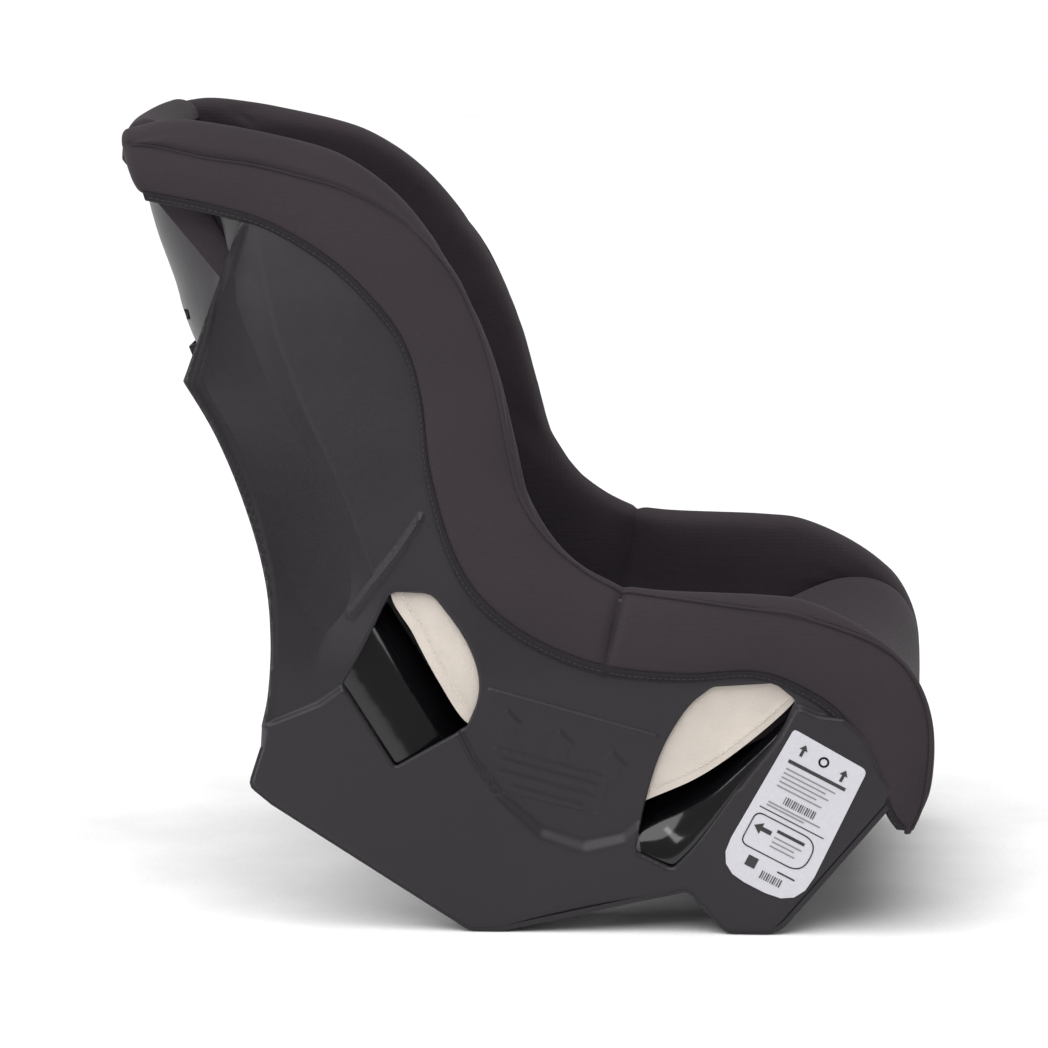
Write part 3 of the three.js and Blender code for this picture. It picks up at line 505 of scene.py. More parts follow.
def felt(name, color):
    """Brushed backing with loose fibres."""
    mat, nodes, links, shader = material(name, color, 0.95, sheen=0.4, specular=0.2)
    where = mottled(nodes, links, shader, color, 30.0, 0.07, 0.94, 0.03)
    fibre = node(nodes, links, "ShaderNodeTexNoise", {"Vector": where, "Scale": 900.0, "Detail": 6.0,
                                                      "Distortion": 1.5})
    bumped(nodes, links, shader, fibre.outputs["Fac"], 0.0006)
    return mat


def weave(name, color):
    """Narrow woven webbing: fine ribs across it."""
    mat, nodes, links, shader = material(name, color, 0.62, sheen=0.15, specular=0.35)
    where = mottled(nodes, links, shader, color, 20.0, 0.12, 0.62, 0.06)
    across = node(nodes, links, "ShaderNodeTexWave", {"Vector": where, "Scale": 150.0, "Distortion": 0.4},
                  wave_type="BANDS", bands_direction="Y")
    along = node(nodes, links, "ShaderNodeTexWave", {"Vector": where, "Scale": 210.0, "Distortion": 0.4},
                 wave_type="BANDS", bands_direction="Z")
    first = bumped(nodes, links, shader, across.outputs["Fac"], 0.00035, 0.9)
    bumped(nodes, links, shader, along.outputs["Fac"], 0.0003, 0.8, over=first)
    return mat


def metal(name, color, roughness):
    """Plated steel with fine drawn lines."""
    mat, nodes, links, shader = material(name, color, roughness, metallic=1.0)
    where = mottled(nodes, links, shader, color, 40.0, 0.08, roughness, 0.06)
    stretch = node(nodes, links, "ShaderNodeMapping", {"Vector": where, "Scale": (60.0, 900.0, 900.0)})
    lines = node(nodes, links, "ShaderNodeTexNoise", {"Vector": stretch.outputs["Vector"], "Scale": 1.0})
    bumped(nodes, links, shader, lines.outputs["Fac"], 0.00004)
    return mat


MATERIALS = {
    "shell": plastic("shell_plastic", (0.019, 0.0165, 0.0195), 0.36, 0.06, specular=0.26),
    "gloss": plastic("guide_plastic", (0.004, 0.004, 0.005), 0.10, 0.03, grain=0.000006),
    "trim": plastic("trim_plastic", (0.022, 0.021, 0.023), 0.4),
    "fabric": knit("charcoal_knit", (0.027, 0.0205, 0.0255), sheen=0.07),
    "tape": knit("edge_tape", (0.014, 0.012, 0.014), gauge=0.0007, sheen=0.04),
    "backing": felt("cream_backing", (0.56, 0.505, 0.455)),
    "webbing": weave("webbing", (0.012, 0.0115, 0.0125)),
    "thread": weave("thread", (0.020, 0.017, 0.020)),
    "cream_thread": weave("cream_thread", (0.62, 0.57, 0.50)),
    "steel": metal("plated_steel", (0.50, 0.50, 0.51), 0.30),
    "dark_steel": metal("dark_steel", (0.035, 0.034, 0.036), 0.42),
    "red": plastic("red_plastic", (0.42, 0.016, 0.012), 0.3),
    "label": plastic("label_paper", (0.50, 0.495, 0.53), 0.38, grain=0.00001),
    "ink": plastic("label_ink", (0.02, 0.02, 0.022), 0.5, grain=0.00001),
    "grey_ink": plastic("label_grey_ink", (0.20, 0.20, 0.21), 0.5, grain=0.00001),
}


def finish_piece(obj, look, stands_for=(), body="seat"):
    """Gives a piece its material and its body, and hides the CAD nodes that it stands for."""
    obj.data.materials.clear()
    obj.data.materials.append(MATERIALS[look])
    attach(obj, body)
    if stands_for:
        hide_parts(*stands_for)


def finished_pair(name, points, faces, look, slot, node_name=None, **more):
    """Both sides of a piece, standing for the CAD nodes node_name_right and node_name_left."""
    for obj, side in zip(both_sides(name, points, faces, **more), SIDES):
        finish_piece(obj, look, [f"{node_name}_{side}"] if node_name else ())


# ---- shell: side walls ----
crest = catmull(CREST, np.linspace(0, 1, 161))
base = rounded(BASE, closed=False)
fin = catmull(FIN, np.linspace(0, 1, 37))
base_region = signed(np.concatenate([base, rounded(RISE, closed=False)[::-1]]))


def arrow(x, z, high=12.0):
    """A house-shaped arrow, pointing up."""
    shape = np.array([[-0.5, -1], [0.5, -1], [0.5, -0.1], [1, -0.1], [0, 0.95], [-1, -0.1], [-0.5, -0.1]])
    return shape * high + [x, z]


def wall_height(x, z):
    """How far the side wall's outer face stands off its plain surface."""
    step_wide = 3.5 + 7.5 * np.exp(-((x - 35) / 55) ** 2)
    high = STEP * ease(-base_region(x, z), -0.2, step_wide)
    # A facet dips in behind the crease, then the wall scoops out again to the fin's edge.
    crease, edge = read("crease", z), read("fin", z)
    u = np.clip((crease - x) / (crease - edge), 0, 1)
    valley = np.interp(z, [170, 230, 300, 360, 420, 450, 520], [0.5, 0.42, 0.36, 0.42, 0.60, 0.86, 0.95])
    depth = np.interp(z, [165, 215, 260, 330, 400, 470, 515], [0, 3.5, 7.5, 9, 8, 5, 0])
    dip = np.where(u < valley, u / valley, 1 - (np.maximum(u - valley, 0) / (1 - valley + 1e-6)) ** 1.6)
    high = high - depth * np.clip(dip, 0, 1)
    # The raised lip of the fin.
    lip_line = np.concatenate([[[-212, 506]], fin])
    lip, _ = from_line(lip_line[::2], x, z)
    high += 2.2 * (1 - ease(lip, 3.2, 5.2))
    # The blade that runs down to the rear opening.
    blade, along = from_line([[-76, 301], [-90, 279], [-126, 232]], x, z)
    wide = 1.5 + 2.0 * along
    high += 3.0 * np.sqrt(np.clip(1 - (blade / wide) ** 2, 0, 1))
    # The level line, arrows and an empty frame with plain bars.
    line, _ = from_line([[-26, 177], [94, 144]], x, z)
    high += 1.3 * (1 - ease(line, 1.2, 2.4))
    for ax, az in ((-13, 153), (25, 138), (63, 123)):
        high += 0.9 * ease(-signed(arrow(ax, az))(x, z), -0.2, 1.0)
    plate = signed(rounded([[-25, 137, 6], [60, 114, 6], [54, 84, 6], [-28, 103, 6]]))(x, z)
    high += 0.8 * (1 - ease(np.abs(plate + 1.2), 0.7, 1.6))
    for bar_z, start, end in ((126, -17, 50), (117, -18, 49), (108, -8, 40)):
        bar, _ = from_line([[start, bar_z - (start + 17) * 0.27], [end, bar_z - (end + 17) * 0.27]], x, z)
        high += 0.55 * (1 - ease(bar, 1.4, 2.6))
    # The front edge of the foot leans back.
    front, _ = from_line([[186, 2], [284, 118]], x, z)
    high -= 3.4 * (1 - ease(front, 1.5, 10))
    return high


def graded(low, high, fine_low, fine_high, coarse, fine):
    """Grid lines from low to high, closer together between fine_low and fine_high."""
    return np.concatenate([np.arange(low, fine_low, coarse), np.arange(fine_low, fine_high, fine),
                           np.arange(fine_high, high + coarse, coarse)])


def make_walls():
    coarse, fine = ((2.2, 1.15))
    rim = moved(crest, 9.0)[:-6]
    top = np.concatenate([[[-207, 520]], fin, base, rim[::-1], [[-284, 549]]])
    edge = signed(top)
    holes = [signed(softened(rounded(h), 3)) for h in (REAR_HOLE, FRONT_HOLE)]

    def distance(x, z):
        return np.maximum(edge(x, z), np.maximum(-holes[0](x, z), -holes[1](x, z)))
    us = graded(-296, 300, -134, 100, coarse, fine)
    vs = graded(-3, 580, 80, 186, coarse, fine)
    points, faces = clip_grid(us, vs, distance)
    x, z = points.T
    inside = -distance(x, z)
    base_in = STEP * ease(-base_region(x, z), -0.2, 6.0)
    edge_in = np.clip(1 - inside / EDGE_ROUND, 0, 1)
    y = wall_y(x, z) + wall_height(x, z) - EDGE_ROUND * (1 - np.sqrt(1 - edge_in**2))
    outer = np.stack([x, -y, z], 1)
    y_in = wall_y(x, z) - WALL + np.minimum(base_in, STEP)
    inner = np.stack([x, -y_in, z], 1)
    points, faces = slab(outer, inner, faces)
    finished_pair("side_wall", points, outward(points, faces), "shell", "shell", "shell_side",
                  smooth_angle=55)
    # The foot and keel turn in under the shell.
    lower = resampled(base, 160)
    outer_y = 209 + STEP - 1.9
    ys = np.linspace(outer_y, 186, 5)
    rows = [lower, moved(lower, -WALL)]
    grid = [np.stack([np.stack([line[:, 0], np.full(len(line), -k), line[:, 1]], 1) for k in ys], 1)
            for line in rows]
    ring = np.concatenate([grid[0], grid[1][:, ::-1]], 1)
    points, faces = loft(ring)
    finished_pair("base_flange", points, outward(points, faces), "shell", "shell")


# ---- shell: back, pan and belt guides ----
S_SCALE, F_SCALE = 38.0, 190.0  # grid units of the bucket's sheet, about a millimetre each
slot_along = np.array([-0.39, 0.92])


def box_distance(a, b, half_a, half_b, r=2.5):
    qa, qb = np.abs(a) - half_a + r, np.abs(b) - half_b + r
    return np.hypot(np.maximum(qa, 0), np.maximum(qb, 0)) + np.minimum(np.maximum(qa, qb), 0) - r


def slot_distance(p):
    """Distance to the nearest strap slot, in the surface at points p."""
    x, y, z = p[..., 0], np.abs(p[..., 1]), p[..., 2]
    best = np.full(x.shape, 1e3)
    for sx, sz in SLOT_ROWS:
        across = (x - sx) * slot_along[0] + (z - sz) * slot_along[1]
        far = np.hypot(x - sx, z - sz) > 60
        best = np.minimum(best, np.where(far, 1e3, box_distance(across, y - 50, 4, 21)))
    hip = np.where(z > 110, 1e3, box_distance(x - 42, y - 120, 21, 4))
    crotch = (x - 112) * 0.97 + (z - 86) * 0.25
    best = np.minimum(best, np.where(np.abs(x - 112) > 40, 1e3, box_distance(crotch, y, 4, 21)))
    best = np.minimum(best, np.where(x < 200, 1e3, box_distance(x - 222.5, y, 4.5, 21)))
    return np.minimum(best, hip)


def make_bucket():
    notches = [signed(np.array(c, float)) for c in (
        [[-172, 206], [-100, 239], [-37, 138], [-108, 87]], [[73, 91], [197, 169], [235, 105], [106, 36]])]

    def distance(u, v):
        p = shell_at(u / S_SCALE, v / F_SCALE)
        cut = slot_distance(p)
        for notch in notches:
            cut = np.minimum(cut, np.maximum(notch(p[..., 0], p[..., 2]), 164.5 - np.abs(p[..., 1])))
        return -cut
    step = 3.0
    us = np.linspace(0, LAST * S_SCALE, int(LAST * S_SCALE / step))
    vs = np.linspace(-F_SCALE, F_SCALE, int(2 * F_SCALE / step))
    points, faces = clip_grid(us, vs, distance)
    s, f = points[:, 0] / S_SCALE, points[:, 1] / F_SCALE
    points, faces = slab(shell_at(s, f, 0.0), shell_at(s, f, PANEL), faces)
    obj = add_mesh("bucket", points, outward(points, faces), smooth_angle=45)
    finish_piece(obj, "shell", ["shell_back", "shell_pan"])


def make_guides():
    """Glossy quarter-round guides from the bucket's corners to the wall openings."""
    n, m = 40, 24
    for name, corner, edge in (
            ("rear", [[-103, 234], [-44, 140]], [[-133, 182], [-93, 121]]),
            ("front", [[80, 86], [102, 99], [126, 114], [148, 128], [170, 142], [193, 156]],
             [[84, 57], [107, 47], [127, 68], [156, 109], [185, 146], [197, 171]])):
        start, end = np.array(corner[0], float), np.array(corner[-1], float)
        t = (end - start) / np.linalg.norm(end - start)
        a, k = np.meshgrid(np.linspace(0, 1, n), np.linspace(0, math.pi / 2, m), indexing="ij")
        inner, outer = catmull(corner, a), catmull(edge, a)

        def sheet(off):
            p = inner + (outer - inner) * (1 - np.cos(k))[..., None]
            y = GUIDE_Y - 2.5 + (GUIDE_END + 3 - GUIDE_Y - off) * np.sin(k)
            return np.stack([p[..., 0] + t[1] * off, -y, p[..., 1] - t[0] * off], -1)
        ring = np.concatenate([sheet(0.0), sheet(3.4)[:, ::-1]], 1)
        points, faces = loft(ring)
        finished_pair(name + "_guide", points, outward(points, faces), "gloss", "gloss",
                      name + "_belt_guide")


# ---- cover: padded rim, wings and arms ----
FOLD_CREST, FOLD_HEM, FOLD_INNER = (70, 251), (57, 195), (34, 81)
INNER = PAD_SIDE[:18] + [[234, 192], [263, 188], [279, 165], [286, 130], [281, 92]]


def halves(line, fold):
    """A line's parts before and after its point nearest the fold, each as even points."""
    line = catmull(line, np.linspace(0, 1, 600))
    k = int(np.argmin(np.hypot(*(line - fold).T)))
    return resampled(line[:k + 1], 200), resampled(line[k:], 200)


LINES = {name: halves(line, fold) for name, line, fold in (
    ("crest", CREST, FOLD_CREST), ("hem", HEM, FOLD_HEM), ("inner", INNER, FOLD_INNER))}


def section(c, h, i, seam_at, pinch):
    """The padded rim's section round the solid: places, offsets from the wall, and what is held still.

    pinch draws it in towards a sewn fold, from 0, free, to 1, at the seam.
    """
    c = c + (h - c) / np.linalg.norm(h - c) * PINCH_CREST * pinch
    puff = 1 - pinch
    length, depth = np.linalg.norm(h - c), np.linalg.norm(i - c)
    r_out, r_in = min(ROLL, 0.42 * length), min(ROLL, 0.42 * depth)
    small = min(1.0, length / 26)
    mid, top, low = -4.6, 6.2 * small, -16.8 * small - (1 - small) * 8
    groove = 2.2 * small

    def roll(e, r, reach):
        return mid + (reach - mid) * np.sqrt(np.clip(1 - ((r - np.minimum(e, r)) / r) ** 2, 0, 1))

    seam_e = (1 - seam_at) * length
    t = np.linspace(0, 1, 17)
    e_low = length + (seam_e - length) * t
    level = roll(seam_e, r_out, top) - groove
    b_low = 0.9 * (1 - t) + level * t + 4.6 * small * puff * np.sin(math.pi * t ** 0.85) ** 0.62
    b_low -= PINCH * pinch * t ** 0.5
    t = np.linspace(0, 1, 17)[1:]
    e_top = seam_e * (1 - t) ** 1.3
    over = np.clip((e_top - r_out) / max(seam_e - r_out, 1e-3), 0, 1)
    b_top = roll(e_top, r_out, top) + 2.4 * small * puff * np.sin(math.pi * over)
    b_top -= groove * np.exp(-((seam_e - e_top) / 2.2) ** 2)
    b_top -= PINCH * pinch
    t = np.linspace(0, 1, 21)[1:]
    e_in = depth * t ** 1.35
    b_in = roll(e_in, r_in, low) - 1.2 * puff * np.sin(math.pi * t)
    b_in += PINCH * pinch
    under = -WALL - LINING - 0.8
    t = np.linspace(0, 1, 7)
    rim = min(9.6, 0.6 * depth, 0.6 * length)
    e_back, b_back = depth + (rim - depth) * t, np.full(7, under * small)
    e_front, b_front = rim + (length - rim) * t, np.full(7, 0.35)
    out_e = np.concatenate([e_low, e_top])
    runs = ((h, out_e / length), (i, e_in / depth), (i, e_back / depth), (h, e_front / length))
    where = np.concatenate([c + (end - c) * share[:, None] for end, share in runs])
    off = np.concatenate([b_low, b_top, b_in, b_back, b_front])
    pinned = np.concatenate([np.arange(len(out_e)) < 2, np.zeros(len(e_in)), np.ones(14)])
    pinned[16] = 1
    return where, off, pinned


def make_rim(name, part, stations, node_name, round_start, round_end):
    """One padded stretch of the rim, before or after the fold seam, on both sides."""
    c, h, i = (resampled(LINES[k][part], stations) for k in ("crest", "hem", "inner"))
    seam = resampled(catmull(SEAM, np.linspace(0, 1, 300)), 900)
    tries = np.linspace(0.05, 0.97, 60)
    between_lines = h[:, None] + (c - h)[:, None] * tries[None, :, None]
    gap = np.linalg.norm(between_lines[:, :, None] - seam[None, None], axis=-1).min(-1)
    seam_at = tries[gap.argmin(1)]
    seam_at = np.convolve(np.pad(seam_at, 4, mode="edge"), np.ones(9) / 9, mode="valid")
    from_fold = np.linalg.norm(c - c[0 if part else -1], axis=1)
    rings, pins = [], []
    for k in range(stations):
        pinch = (1 - min(1.0, from_fold[k] / PINCH_REACH)) ** 2
        where, off, pinned = section(c[k], h[k], i[k], seam_at[k], pinch)
        pinned = np.ones_like(pinned) if pinch > 0.98 else pinned
        y = wall_y(where[:, 0], where[:, 1]) + off
        rings.append(np.stack([where[:, 0], -y, where[:, 1]], 1))
        pins.append(pinned)
    rings = np.array(rings)
    caps = np.linspace(0, 1, 7)[1:]
    for at, reach in ((0, round_start), (-1, round_end)):
        way = rings[at] - rings[1 if at == 0 else -2]
        way = way.mean(0) / np.linalg.norm(way.mean(0))
        middle = rings[at].mean(0)
        tight = 0.0 if reach < 1 else 0.96  # a fold's end is cut off flat, a free end is rounded
        extra = [middle + (rings[at] - middle) * math.sqrt(1 - (tight * t) ** 2) + way * reach * t
                 for t in caps]
        order = extra[::-1] if at == 0 else extra
        rings = np.concatenate([order, rings]) if at == 0 else np.concatenate([rings, order])
        pins = [pins[at]] * 6 + pins if at == 0 else pins + [pins[at]] * 6
    points, faces = loft(rings)
    pin = np.concatenate([np.array(pins).ravel(), [1, 1]]) > 0
    pieces = both_sides(name, points, outward(points, faces), smooth_angle=70)
    for obj, side in zip(pieces, SIDES):
        puff(obj, pin, 3.0)
        soften(obj)
        finish_piece(obj, "fabric", [f"{node_name}_{side}"])
    seam_line = np.array([ring[16] for ring in rings[6:-6]])
    out = np.array([ring[16] - ring[40] for ring in rings[6:-6]])
    return rings, seam_line, out


CLOTH = {"quality": 4, "mass": 0.25, "tension_stiffness": 12, "compression_stiffness": 12,
         "shear_stiffness": 5, "bending_stiffness": 0.5, "use_pressure": True,
         "uniform_pressure_force": 4.0, "vertex_group_mass": "pin"}
CLOTH_FRAMES = 20


def puff(obj, pinned, cap):
    """Cloth simulation: the fabric swells between its pinned seams, by at most cap millimetres."""
    mesh = obj.data
    group = obj.vertex_groups.new(name="pin")
    group.add([int(k) for k in np.flatnonzero(pinned)], 1.0, "REPLACE")
    before = np.empty(len(mesh.vertices) * 3)
    mesh.vertices.foreach_get("co", before)
    cloth = obj.modifiers.new("cloth", "CLOTH")
    for key, value in CLOTH.items():
        setattr(cloth.settings, key, value)
    cloth.settings.effector_weights.gravity = 0
    cloth.collision_settings.use_collision = False
    for number in range(1, CLOTH_FRAMES + 1):
        bpy.context.scene.frame_set(number)
    shown = obj.evaluated_get(bpy.context.evaluated_depsgraph_get()).to_mesh()
    after = np.empty(len(mesh.vertices) * 3)
    shown.vertices.foreach_get("co", after)
    obj.modifiers.remove(cloth)
    bpy.context.scene.frame_set(1)
    move = (after - before).reshape(-1, 3)
    move[pinned[:len(move)]] = 0
    far = np.linalg.norm(move, axis=1)
    limit = cap / 1000
    scale = np.where(far > 1e-9, limit * np.tanh(far / limit) / np.maximum(far, 1e-9), 0)
    mesh.vertices.foreach_set("co", (before.reshape(-1, 3) + move * scale[:, None]).ravel())
    obj.vertex_groups.remove(group)
    mesh.update()


def soften(obj):
    sub = obj.modifiers.new("surface", "SUBSURF")
    sub.levels = sub.render_levels = 1


def make_cover_edges(rings, seam_line, out, name):
    """The welt in the seam, the tape and the stitches along the hem."""
    welt = tube(seam_line + out / np.linalg.norm(out, axis=1)[:, None] * 1.1, 1.1)
    finished_pair(name + "_welt", *welt, "fabric", "fabric")
    hem_line = np.array([ring[0] for ring in rings[6:-6]])
    above = np.array([ring[3] for ring in rings[6:-6]])
    down = hem_line - above
    down /= np.linalg.norm(down, axis=1)[:, None]
    side = np.zeros_like(down)
    side[:, 1] = -1
    profile = [(-2.0, 1.6), (0.5, 2.4), (3.4, 2.3), (5.4, 1.5), (5.8, 0.6), (-2.0, 0.5)]
    ring = np.stack([hem_line + down * a + side * b for a, b in profile], 1)
    points, faces = loft(ring)
    finished_pair(name + "_hem_tape", points, outward(points, faces), "tape", "fabric", smooth_angle=60)
    threads = stitches(hem_line + down * 2.4 + side * 2.2, side)
    finished_pair(name + "_hem_stitches", *threads, "thread", "fabric")


# ---- cover: back pad with the roll over the top, and seat pad ----
def across_pad(n):
    """n places across a pad, from -1 to 1, closer together near its edges."""
    return np.sin(np.linspace(-1, 1, n) * math.pi / 2) * 0.5 + np.linspace(-1, 1, n) * 0.5


def swollen(name, rings, pins):
    """The pad through these rings, swollen between the points that are held."""
    pins = np.array(pins)
    pins[:2] = pins[-2:] = True
    points, faces = loft(np.array(rings))
    obj = add_mesh(name, points, outward(points, faces), smooth_angle=70)
    puff(obj, np.concatenate([pins.ravel(), [True, True]]), 4.0)
    return obj


def round_end(t):
    """A quarter circle's height, from 0 at t = 0 to 1 at t = 1."""
    return np.sqrt(np.clip(1 - (1 - np.clip(t, 0, 1)) ** 2, 0, 1))


def make_back_pad():
    n_across, rows = ((64, 80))
    rings, pins = [], []
    for f in across_pad(n_across):
        crown = (1 - abs(f) ** 7) ** 0.5
        s = np.linspace(BIGHT - 0.08, 0.0, rows)
        near_fold = round_end((BIGHT - s) / 0.45)
        high = 1.5 + (PAD - 0.5) * (0.12 + 0.88 * crown) * (0.1 + 0.9 * near_fold)
        top = pad_at(s, f, high)
        y = top[-1, 1]
        a = shell_at(0.0, 0.84 * f)[0]
        over = np.array([[a + 26, 566], [a + 23, 575], [a + 14, 580.5], [a + 5, 580.5], [a - 3, 575],
                         [a - 7.5, 563], [a - 8.5, 550]])
        over = catmull(over, np.linspace(0, 1, 26))
        behind = [shell_at(k, 0.84 * f, -8.2) for k in (0.75, 1.2, 1.45)] + [shell_at(1.5, 0.84 * f, -1.4)]
        up = [shell_at(k, 0.84 * f, -1.2) for k in (1.2, 0.75, 0.3)]
        inside = np.array([[a - 1.4, 563], [a + 6.6, 563.5]])
        line = [top] + [np.stack([q[:, 0], np.full(len(q), y), q[:, 1]], 1)
                        for q in (over, np.array([[k[0], k[2]] for k in behind + up]), inside)]
        s_under = np.linspace(0.0, BIGHT - 0.08, rows // 2)
        line.append(pad_at(s_under, f, 0.0))
        rings.append(np.concatenate(line))
        pin = np.arange(len(rings[-1])) >= rows + 26
        pin[0] = True
        pins.append(pin)
    return swollen("back_pad", rings, pins)


def make_seat_pad():
    n_across, rows = ((64, 60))
    rings, pins = [], []
    for f in across_pad(n_across):
        crown = (1 - abs(f) ** 7) ** 0.5
        s = np.linspace(BIGHT + 0.08, LAST, rows)
        near_fold, near_end = round_end((s - BIGHT) / 0.5), round_end((LAST - s) / 0.5)
        high = 1.5 + (pad_high(s) - 0.5) * (0.12 + 0.88 * crown) * (0.1 + 0.9 * near_fold * near_end)
        under = np.linspace(LAST, BIGHT + 0.08, rows // 2)
        rings.append(np.concatenate([pad_at(s, f, high), pad_at(under, f, 0.0)]))
        pins.append(np.arange(rows + rows // 2) >= rows)
    return swollen("seat_pad", rings, pins)


def make_pads():
    for obj, node_name in ((make_back_pad(), "cover_back"), (make_seat_pad(), "cover_seat")):
        soften(obj)
        finish_piece(obj, "fabric", [node_name])


# ---- cream backing seen through the wall openings ----
def make_backing():
    lower = catmull([[-66, 299], [-98, 252], [-81, 216], [-63, 183], [-45, 155], [-27, 143], [0, 104],
                     [24, 85], [46, 77], [70, 88], [88, 97], [125, 114], [159, 138], [192, 168],
                     [201, 186]], np.linspace(0, 1, 160))
    upper = catmull([[-60, 302], [-36, 268], [8, 232], [60, 210], [120, 204], [196, 194], [203, 190]],
                    np.linspace(0, 1, 160))
    lower, upper = resampled(lower, 150), resampled(upper, 150)
    across = np.linspace(0, 1, 26)
    spot = lower[:, None] + (upper - lower)[:, None] * across[None, :, None]
    x, z = spot[..., 0], spot[..., 1]
    reach = np.linalg.norm(upper - lower, axis=1)[:, None] * across
    hem_band = 0.9 * (1 - ease(reach, 9.0, 11.0))
    ripple = 0.35 * np.sin(x / 9.0) * np.sin(z / 13.0)
    outer = wall_y(x, z) - WALL - 0.9 + np.minimum(hem_band, 0.5) + ripple * 0.4 - 0.5
    inner = wall_y(x, z) - WALL - 0.4 - LINING - 0.6
    ring = np.concatenate([np.stack([x, -outer, z], -1), np.stack([x, -inner, z], -1)[:, ::-1]], 1)
    points, faces = loft(ring)
    finished_pair("backing", points, outward(points, faces), "backing", "backing", "cover_backing",
                  smooth_angle=60)
    t = 8.0 / np.linalg.norm(upper - lower, axis=1)[:, None]
    line = lower + (upper - lower) * t
    path = np.stack([line[:, 0], -(wall_y(line[:, 0], line[:, 1]) - WALL - 0.8), line[:, 1]], 1)
    threads = stitches(path, np.tile([0, -1, 0], (len(path), 1)), high=0.3)
    finished_pair("backing_stitches", *threads, "cream_thread", "backing")


# ---- labels: plain bars, arrows and a frame in place of print ----

def make_labels():
    up = np.array([0.459, 0.888])
    right = np.array([0.888, -0.459])
    middle = np.array([194.0, 86.0])
    y = 209 + STEP + 0.55

    def flat(shape, thick=0.14):
        shape = np.asarray(shape, float)
        spot = middle + shape[:, :1] * right + shape[:, 1:] * up
        n = len(shape)
        points = np.concatenate([np.stack([spot[:, 0], np.full(n, -y - d), spot[:, 1]], 1)
                                 for d in (-0.1, thick)])
        faces = [list(range(n)), list(range(n, 2 * n))[::-1]]
        faces += [[k, k + n, (k + 1) % n + n, (k + 1) % n] for k in range(n)]
        return points, outward(points, faces)

    def bar(x0, x1, y0, y1):
        return flat([[x0, y0], [x1, y0], [x1, y1], [x0, y1]])

    def ring(outline, wide):
        parts = []
        for a, b in zip(outline, np.roll(outline, -1, 0)):
            t = (b - a) / max(np.linalg.norm(b - a), 1e-6) * wide / 2
            n = np.array([-t[1], t[0]])
            parts.append(flat([a - t - n, b + t - n, b + t + n, a - t + n]))
        return parts
    turn = np.linspace(0, 2 * math.pi, 20, endpoint=False)
    head = np.array([[-3.2, 0], [-1.1, 0], [-1.1, -5], [1.1, -5], [1.1, 0], [3.2, 0], [0, 4.2]])
    ink = [flat(head + [-17, 48]), flat(head + [17, 45])]
    ink += ring(np.stack([np.cos(turn), np.sin(turn)], 1) * 3.2 + [0, 47], 1.3)
    ink += [bar(-23, 23, 35.0, 37.6)]
    ink += [bar(-12 + 1.7 * k, -12 + 1.7 * k + (0.5, 0.9, 0.7)[k % 3], 6, 12) for k in range(15)]
    sideways = np.array([[0, -4.4], [0, -1.6], [8, -1.6], [8, 1.6], [0, 1.6], [0, 4.4], [-6, 0]])
    ink += [flat(sideways + [-17, -17])]
    ink += [bar(-26, 26, -3.2, -2.4), bar(-6, 16, -14.5, -12.2)]
    ink += ring(rounded([[-26, -7, 6], [24, -7, 12], [24, -33, 12], [-26, -33, 6]]), 0.9)
    ink += [bar(-16, -8, -46, -38), bar(-16 + 24, 22, -40.6, -39.4)]
    ink += [bar(-2 + 1.7 * k, -2 + 1.7 * k + (0.9, 0.5, 0.7)[k % 3], -50, -44) for k in range(10)]
    grey = [bar(-22, -22 + wide, z, z + 1.1) for z, wide in
            ((30, 40), (26.5, 34), (23, 38), (19.5, 30), (16, 36), (0.2, 30), (2.6, 42))]
    grey += [bar(-6, -6 + wide, z, z + 1.1) for z, wide in ((-19, 22), (-22.5, 18), (-26, 20))]
    for name, parts, look in (("label_print", ink, "ink"), ("label_fine_print", grey, "grey_ink")):
        finished_pair(name, *merged(parts), look, "label")


# ---- CAD pieces that stay ----
def pairs(*names):
    return [f"{name}_{side}" for name in names for side in SIDES]


STEEL = ["splitter_plate", "buckle_latch", "buckle_spring", "crotch_retainer", "adjuster_pin",
         "tether_hook", "tether_gate",
         *pairs("hip_retainer", "buckle_tongue", "anchor_connector", "anchor_gate")]
TRIM = ["buckle_housing", "adjuster_housing", "adjuster_lever", "anchor_adjuster", "tether_adjuster",
        *pairs("chest_clip")]
STRAPS = ["crotch_strap", "adjuster_strap", "anchor_belt", "tether_strap", *pairs("harness_strap")]
KEPT = {"steel": STEEL, "dark_steel": ["tether_anchor"], "trim": TRIM, "webbing": STRAPS,
        "red": ["buckle_button", "anchor_release"], "shell": ["shell_rear_rib", "shell_front_rib"],
        "label": pairs("label")}
# width of the rounded edge on each, millimetres
EDGE = {"steel": 0.35, "dark_steel": 0.35, "trim": 1.4, "webbing": 0.4, "red": 1.0, "shell": 0.8,
        "label": 0.0}


def finish_cad_pieces():
    for look, names in KEPT.items():
        for name in names:
            obj = frame["nodes"][name]
            obj.data.materials.clear()
            obj.data.materials.append(MATERIALS[look])
            if EDGE[look] and name != "buckle_spring":
                bevel = obj.modifiers.new("edge", "BEVEL")
                bevel.width = EDGE[look] / 1000
                bevel.segments = 2
                bevel.limit_method = "ANGLE"
                bevel.angle_limit = math.radians(30)


# ---- camera, light and floor ----
DISTANCE, YAW, TILT, LENS = 3.9, 2.8, 8.7, 176.5
TARGET = (-11.0, 0.0, 267.0)
SKY_POWER, SKY_SPREAD, WORLD, FLOOR = 3.2, 70, 0.30, 30.0
SKY_FROM = (-0.15, -0.42, 1.0)
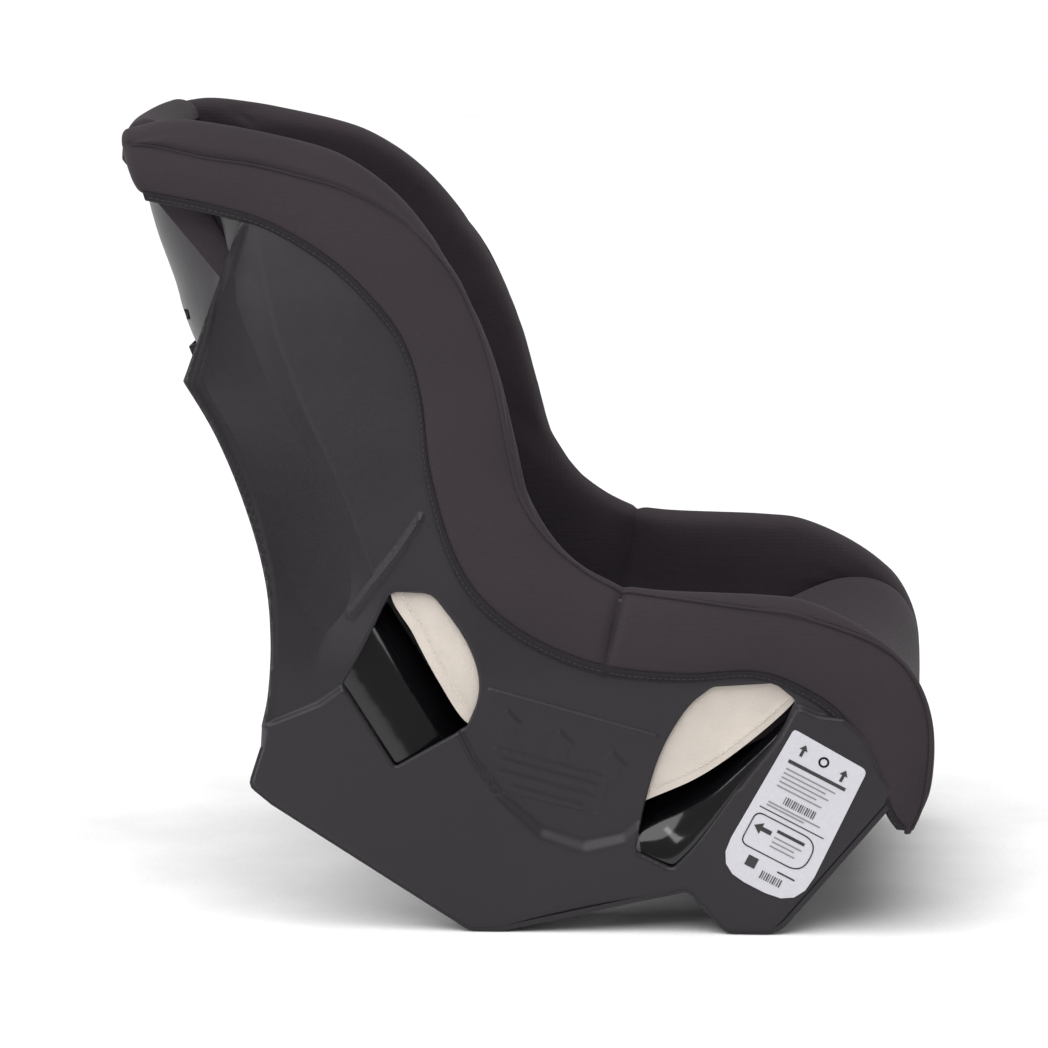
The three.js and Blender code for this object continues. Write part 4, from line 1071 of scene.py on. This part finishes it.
# [name, place, aimed at, width and height, power], metres and watts
LIGHTS = [["rear_softbox", (-2.2, -0.5, 0.7), (-0.1, 0, 0.3), (0.8, 1.8), 22],
          ["key_softbox", (-0.9, -2.6, 1.5), (0, 0, 0.25), (0.4, 1.6), 9],
          ["front_softbox", (2.2, -1.0, 0.8), (0.1, 0, 0.2), (0.5, 1.8), 7]]


def make_camera():
    yaw, tilt = math.radians(YAW), math.radians(TILT)
    back = Vector((math.sin(yaw) * math.cos(tilt), -math.cos(yaw) * math.cos(tilt), math.sin(tilt)))
    right = (-back).cross(Vector((0, 0, 1))).normalized()
    up = right.cross(-back)
    data = bpy.data.cameras.new("camera")
    data.lens, data.sensor_width = LENS, 36.0
    camera = bpy.data.objects.new("camera", data)
    bpy.context.scene.collection.objects.link(camera)
    spot = Vector(world(TARGET)) + back * DISTANCE
    camera.matrix_world = Matrix(((right.x, up.x, back.x, spot.x), (right.y, up.y, back.y, spot.y),
                                  (right.z, up.z, back.z, spot.z), (0, 0, 0, 1)))
    bpy.context.scene.camera = camera


def make_light(name, spot, target, size, power):
    data = bpy.data.lights.new(name, "AREA")
    data.shape, data.energy = "RECTANGLE", power
    data.size, data.size_y = size
    light = bpy.data.objects.new(name, data)
    light.location = spot
    light.rotation_euler = (Vector(target) - Vector(spot)).to_track_quat("-Z", "Y").to_euler()
    bpy.context.scene.collection.objects.link(light)


def make_studio():
    sun = bpy.data.lights.new("sky_panel", "SUN")
    sun.energy, sun.angle = SKY_POWER, math.radians(SKY_SPREAD)
    overhead = bpy.data.objects.new("sky_panel", sun)
    overhead.rotation_euler = Vector(SKY_FROM).to_track_quat("Z", "Y").to_euler()
    bpy.context.scene.collection.objects.link(overhead)
    for light in LIGHTS:
        make_light(*light)
    studio = bpy.data.worlds.new("studio")
    studio.use_nodes = True
    sky = studio.node_tree.nodes["Background"]
    sky.inputs["Color"].default_value = (1.0, 0.995, 0.99, 1)
    sky.inputs["Strength"].default_value = WORLD
    bpy.context.scene.world = studio
    bpy.context.scene.view_settings.view_transform = "Standard"
    mesh = bpy.data.meshes.new("floor")
    corners = [(-1, -1), (1, -1), (1, 1), (-1, 1)]
    mesh.from_pydata([(x * FLOOR, y * FLOOR, -0.0005) for x, y in corners], [], [[0, 1, 2, 3]])
    floor = bpy.data.objects.new("floor", mesh)
    bpy.context.scene.collection.objects.link(floor)
    mesh.materials.append(plastic("floor_paper", (0.88, 0.88, 0.88), 0.9, grain=0.00001, specular=0.1))


make_walls()
make_bucket()
make_guides()
for rim_name, rim_part, count, rim_node, start_reach, end_reach in (
        ("wing", 0, 120, "cover_wing", 9.0, 0.5), ("arm", 1, 80, "cover_arm", 0.5, 6.0)):
    made = make_rim(rim_name, rim_part, count, rim_node, start_reach, end_reach)
    make_cover_edges(*made, rim_name)
make_pads()
make_backing()
make_labels()
finish_cad_pieces()
make_camera()
make_studio()
